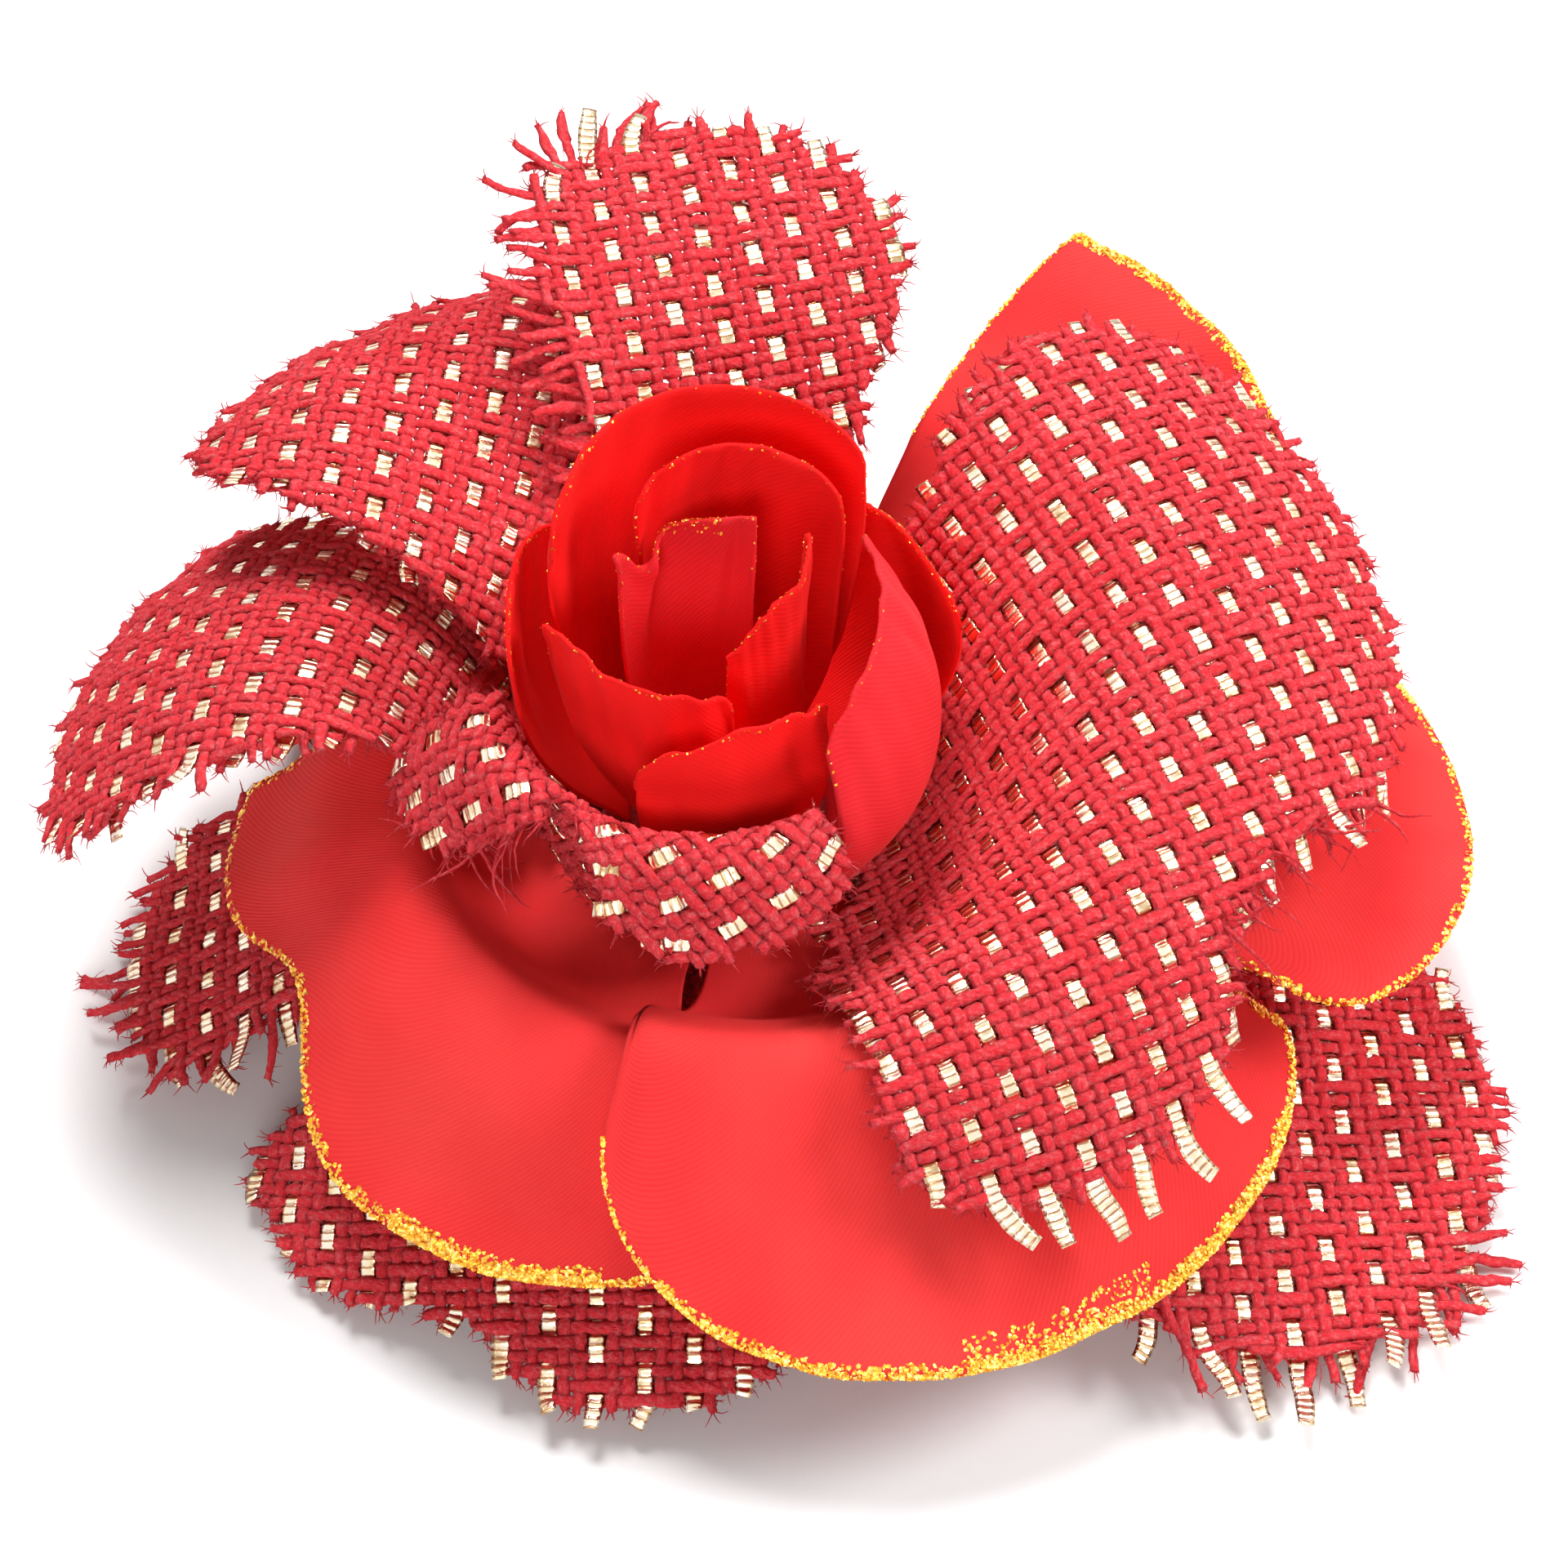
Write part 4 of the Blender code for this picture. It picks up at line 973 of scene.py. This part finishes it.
def gold_dust(petal, finer, length, material, seed):
    """Small gold flakes glued along the petal's edge."""
    chance = random.Random(seed)
    builder = Builder()
    for start, end, width, density in petal.dust:
        ticks = [start + (end - start) * step / RIM_STEPS for step in range(RIM_STEPS + 1)]
        rim = [finer(*outline_place(tick)) for tick in ticks]
        reach = sum((b - a).length for a, b in zip(rim, rim[1:]))
        for _ in range(int(reach * density)):
            along, across = outline_place(chance.uniform(start, end))
            inward = width * chance.random() ** 1.6
            if abs(across) < 1:
                along = max(0.1, along - inward / length)
            else:
                across *= 1 - inward / 25
            here = finer(along, across)
            ahead = finer(along - 0.01, across) - here
            aside = finer(along, across * 0.99 + 0.003) - here
            normal = ahead.cross(aside).normalized()
            side = 1 if chance.random() < FACE_SHARE else -1
            spot = here + normal * (side * (SATIN_THICKNESS / 2 + 0.02))
            lean = normal + astray(chance, 0.55)
            size = chance.uniform(*FLAKE_RADIUS) * (BUD_FLAKE if petal.name.startswith("bud") else 1.0)
            builder.flake(spot, lean, size, FLAKE_THICKNESS, chance.uniform(0, 6.28))
    piece = builder.make(petal.name + "_glitter", material, smooth=False)
    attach(piece, ROSE)
    return piece


def satin_ring(petals, base_z, tongue, opened, materials, key, seed):
    """Satin petals glued on one disc, with gold dust on their edges."""
    for index, petal in enumerate(petals):
        # a petal marked so takes the darker, rosier satin copy, whose colour is painted shade and painted sheen
        cloth = materials["rose" if petal.painted_shade_and_sheen else key]
        piece, area, finer, length = satin_petal(petal, base_z, tongue, opened, cloth, seed + index)
        dust = gold_dust(petal, finer, length, materials["glitter"], seed + 100 + index)


def bud_roll(material):
    """The strip of satin rolled up at the middle of the bud, with its stem down through the discs."""
    low, high = millimetres("bud_core")
    turns = 2.4
    inner, winding = 0.45, 0.34
    lean = wave(7, 2.5)
    points, spots = [], []
    rows, columns = 30, 120
    for row in range(rows + 1):
        share = row / rows
        line = []
        for column in range(columns + 1):
            turn = turns * 2 * math.pi * column / columns
            outward = inner + winding * turn / (2 * math.pi) * 2
            flare = 1.25 * smoothstep((share - 0.25) / 0.4) * (1.1 - 0.35 * smoothstep((share - 0.75) / 0.25))
            top = high.z - 1.2 + 0.8 * lean(turn * 0.4) - 1.2 * column / columns
            radius = outward * (0.62 + 0.38 * flare)
            line.append((radius * math.cos(turn), radius * math.sin(turn), low.z + (top - low.z) * share))
        points.append(line)
        spots.append([(share * (high.z - low.z), 0.25 * column) for column in range(columns + 1)])
    piece, area = closed_cloth("bud_core_roll", points, spots, 0.2, material)
    settle(piece, "bud_core")


# Felt, glue and steel

def felt_disc(node, material, seed):
    """A felt disc with a fibrous skin and an uneven cut edge, over the CAD disc."""
    low, high = millimetres(node)
    radius = (high.x - low.x) / 2
    thickness = high.z - low.z
    hole = 1.9
    band = 1.2  # width of the uneven edge
    chance = random.Random(seed)
    rough = wave(seed, 9.0, 7.0)
    steps = 26
    radii = [hole + (radius - hole) * step / steps for step in range(steps)]
    outline = [(out, low.z) for out in radii]
    outline += [(radius, low.z + thickness * share) for share in (0.15, 0.5, 0.85)]
    outline += [(out, high.z) for out in reversed(radii)]
    segments = 144
    builder = Builder()
    points = []
    for step in range(segments):
        turn = 2 * math.pi * step / segments
        for out, height in outline:
            inset = 0.10 * rough(turn * 3, out) + chance.uniform(-0.05, 0.05)
            edge = smoothstep((out - radius + band) / band)
            out = out - edge * (0.14 + inset)
            height = height + 0.04 * rough(out, turn * out * 0.3) + chance.uniform(-0.03, 0.03)
            points.append((out * math.cos(turn), out * math.sin(turn), height))
    grid = np.arange(len(points)).reshape(segments, len(outline))
    builder.faces += cells(np.pad(grid, ((0, 1), (0, 1)), mode="wrap"))[:, [0, 3, 2, 1]].tolist()
    builder.vertices.append(np.array(points))
    builder.spots.append(np.array(points)[:, :2])
    piece = builder.make(node + "_felt", material)
    settle(piece, node)


def spring_wire(material):
    """The torsion spring's wire: one leg lies under the arm with the rose, the other leans down towards the
    jaw.
    """
    low, high = millimetres("hinge_pin")
    pin_x, pin_z = (low.x + high.x) / 2 - AXIS[0], (low.z + high.z) / 2
    radius, pitch, leg, lever, wire = 2.5, 1.4, 9.1, math.radians(18), 0.4
    wound = 6 * math.pi + math.pi - lever
    length = pitch * wound / (2 * math.pi)
    path = [Vector((pin_x + leg * (1 - step / 8), -length / 2, pin_z + radius)) for step in range(8)]
    steps = 130
    for step in range(steps + 1):
        turn = math.pi / 2 + wound * step / steps
        path.append(Vector((pin_x + radius * math.cos(turn), length * (step / steps - 0.5),
                            pin_z + radius * math.sin(turn))))
    last = path[-1]
    for step in range(1, 9):
        path.append(last + Vector((math.cos(lever), 0, -math.sin(lever))) * (leg * step / 8))
    builder = Builder()
    builder.tube(path, [Vector((0, 1, 0))] * len(path), [wire] * len(path), [wire] * len(path), sides=14)
    piece = builder.make("torsion_spring_wire", material)
    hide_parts("torsion_spring")
    start, end = (((pin_x + AXIS[0]) * MM, (AXIS[1] + half) * MM, pin_z * MM)
                  for half in (-length / 2, length / 2))
    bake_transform(piece)
    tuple(start)
    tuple(end)


def paint_node(name, material):
    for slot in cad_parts[name].material_slots:
        slot.material = material


# Stage

def stage():
    """A white floor that keeps the shadow round the rose and runs out into the white background."""
    make = Nodes("studio_floor")
    space = make.coordinates("Object")
    paper = make.noise(60.0, 3.0, vector=space)
    colour = make.ramp(paper, (0.3, 0.93), (0.7, 0.95))
    make.finish(Base_Color=colour, Roughness=0.9, Specular_IOR_Level=0.1)
    away = make.add("ShaderNodeVectorMath", {"operation": "LENGTH"}, Vector=space)
    fade = make.add("ShaderNodeMapRange", {"interpolation_type": "SMOOTHSTEP"}, Value=away.outputs["Value"],
                    From_Min=SHADOW_FADES[0], From_Max=SHADOW_FADES[1])
    white = make.add("ShaderNodeEmission", Strength=make.seen_by("Is Camera Ray", "Is Glossy Ray"))
    ground = make.add("ShaderNodeMixShader")
    for socket, value in enumerate((fade, make.shader, white)):
        make.set(ground, socket, value)
    make.set(make.tree.nodes["Material Output"], "Surface", ground)
    mesh = bpy.data.meshes.new("studio_floor")
    corners = [(x * FLOOR_HALF, y * FLOOR_HALF, -FLOOR_DROP) for x, y in ((-1, -1), (1, -1), (1, 1), (-1, 1))]
    mesh.from_pydata(corners, [], [(0, 1, 2, 3)])
    mesh.materials.append(make.owner)
    floor = put("studio_floor", mesh)


def area_light(name, place, target, size, power):
    data = bpy.data.lights.new(name, "AREA")
    data.shape = "DISK"
    data.size = size
    data.energy = power
    lamp = put(name, data)
    lamp.location = place
    lamp.rotation_euler = (Vector(target) - Vector(place)).to_track_quat("-Z", "Y").to_euler()


def light_and_camera():
    scene = bpy.context.scene
    make = Nodes("studio", "worlds", "Background")
    scene.world = make.owner
    parts = make.add("ShaderNodeSeparateXYZ", Vector=make.add("ShaderNodeTexCoord").outputs["Generated"])
    sky = make.add("ShaderNodeMapRange", Value=parts.outputs["Z"], From_Min=0.1, From_Max=0.9, To_Min=0.10,
                   To_Max=0.32)
    shown = make.seen_by("Is Camera Ray", "Is Glossy Ray", "Is Transmission Ray")
    make.finish(Color=(1, 1, 1, 1), Strength=make.add("ShaderNodeMix", Factor=shown, A=sky, B=1.0))
    for lamp in LAMPS:
        area_light(*lamp)
    aim = Vector((AXIS[0] + VIEW_AIM[0], AXIS[1] + VIEW_AIM[1], VIEW_AIM[2])) * MM
    rise = math.radians(VIEW_ELEVATION)
    data = bpy.data.cameras.new("photo_view")
    data.sensor_width = SENSOR
    data.lens = SENSOR * VIEW_DISTANCE / VIEW_WIDTH
    data.clip_start = 0.01
    data.clip_end = 10.0
    camera = put("photo_view", data)
    camera.location = aim + Vector((0, -math.cos(rise), math.sin(rise))) * (VIEW_DISTANCE * MM)
    camera.rotation_euler = (aim - camera.location).to_track_quat("-Z", "Y").to_euler()
    scene.camera = camera
    scene.view_settings.view_transform = "Standard"


def main():
    materials = {
        "coral": satin_material("coral_satin_weave", (0.78, 0.026, 0.031), (0.90, 0.058, 0.055)),
        "scarlet": satin_material("scarlet_satin_weave", (0.88, 0.008, 0.010), (0.97, 0.022, 0.020)),
        # a darker, rosier copy of the scarlet satin: painted shade and painted sheen on the bud petals that
        # take it
        "rose": satin_material("shaded_sheen_satin_weave", (0.68, 0.016, 0.024), (0.86, 0.036, 0.046)),
        "red_yarn": yarn_material("red_yarn", (0.95, 0.022, 0.034), (1.0, 0.056, 0.076), (1.0, 0.25, 0.26)),
        "lurex": lurex_material(),
        "glitter": glitter_material(),
    }
    for index, petal in enumerate(LOWER_PETALS):
        woven_petal(petal, LOWER_Z, materials, 10 + index)
    for index, petal in enumerate(UPPER_PETALS):
        woven_petal(petal, UPPER_Z, materials, 30 + index)
    satin_ring(SATIN_PETALS, SATIN_Z, TONGUE, RING_OPENED, materials, "coral", 50)
    satin_ring(BUD_PETALS, BUD_Z, 0.0, BUD_OPENED, materials, "scarlet", 70)
    bud_roll(materials["scarlet"])
    felt = felt_material()
    for index, node in enumerate(("felt_backing", "base_disc", "ring_disc", "crown_disc")):
        felt_disc(node, felt, 90 + index)
    nickel = steel_material("drawn_nickel", (0.74, 0.73, 0.71), (1.0, 22.0, 22.0), 0.26)
    for node in ("clip_top_arm", "clip_jaw", "hinge_pin"):
        paint_node(node, nickel)
    paint_node("clip_glue", glue_material())
    spring_wire(steel_material("wound_spring_steel", (0.58, 0.58, 0.59), (1.0, 1.0, 1.0), 0.3))
    stage()
    light_and_camera()


main()
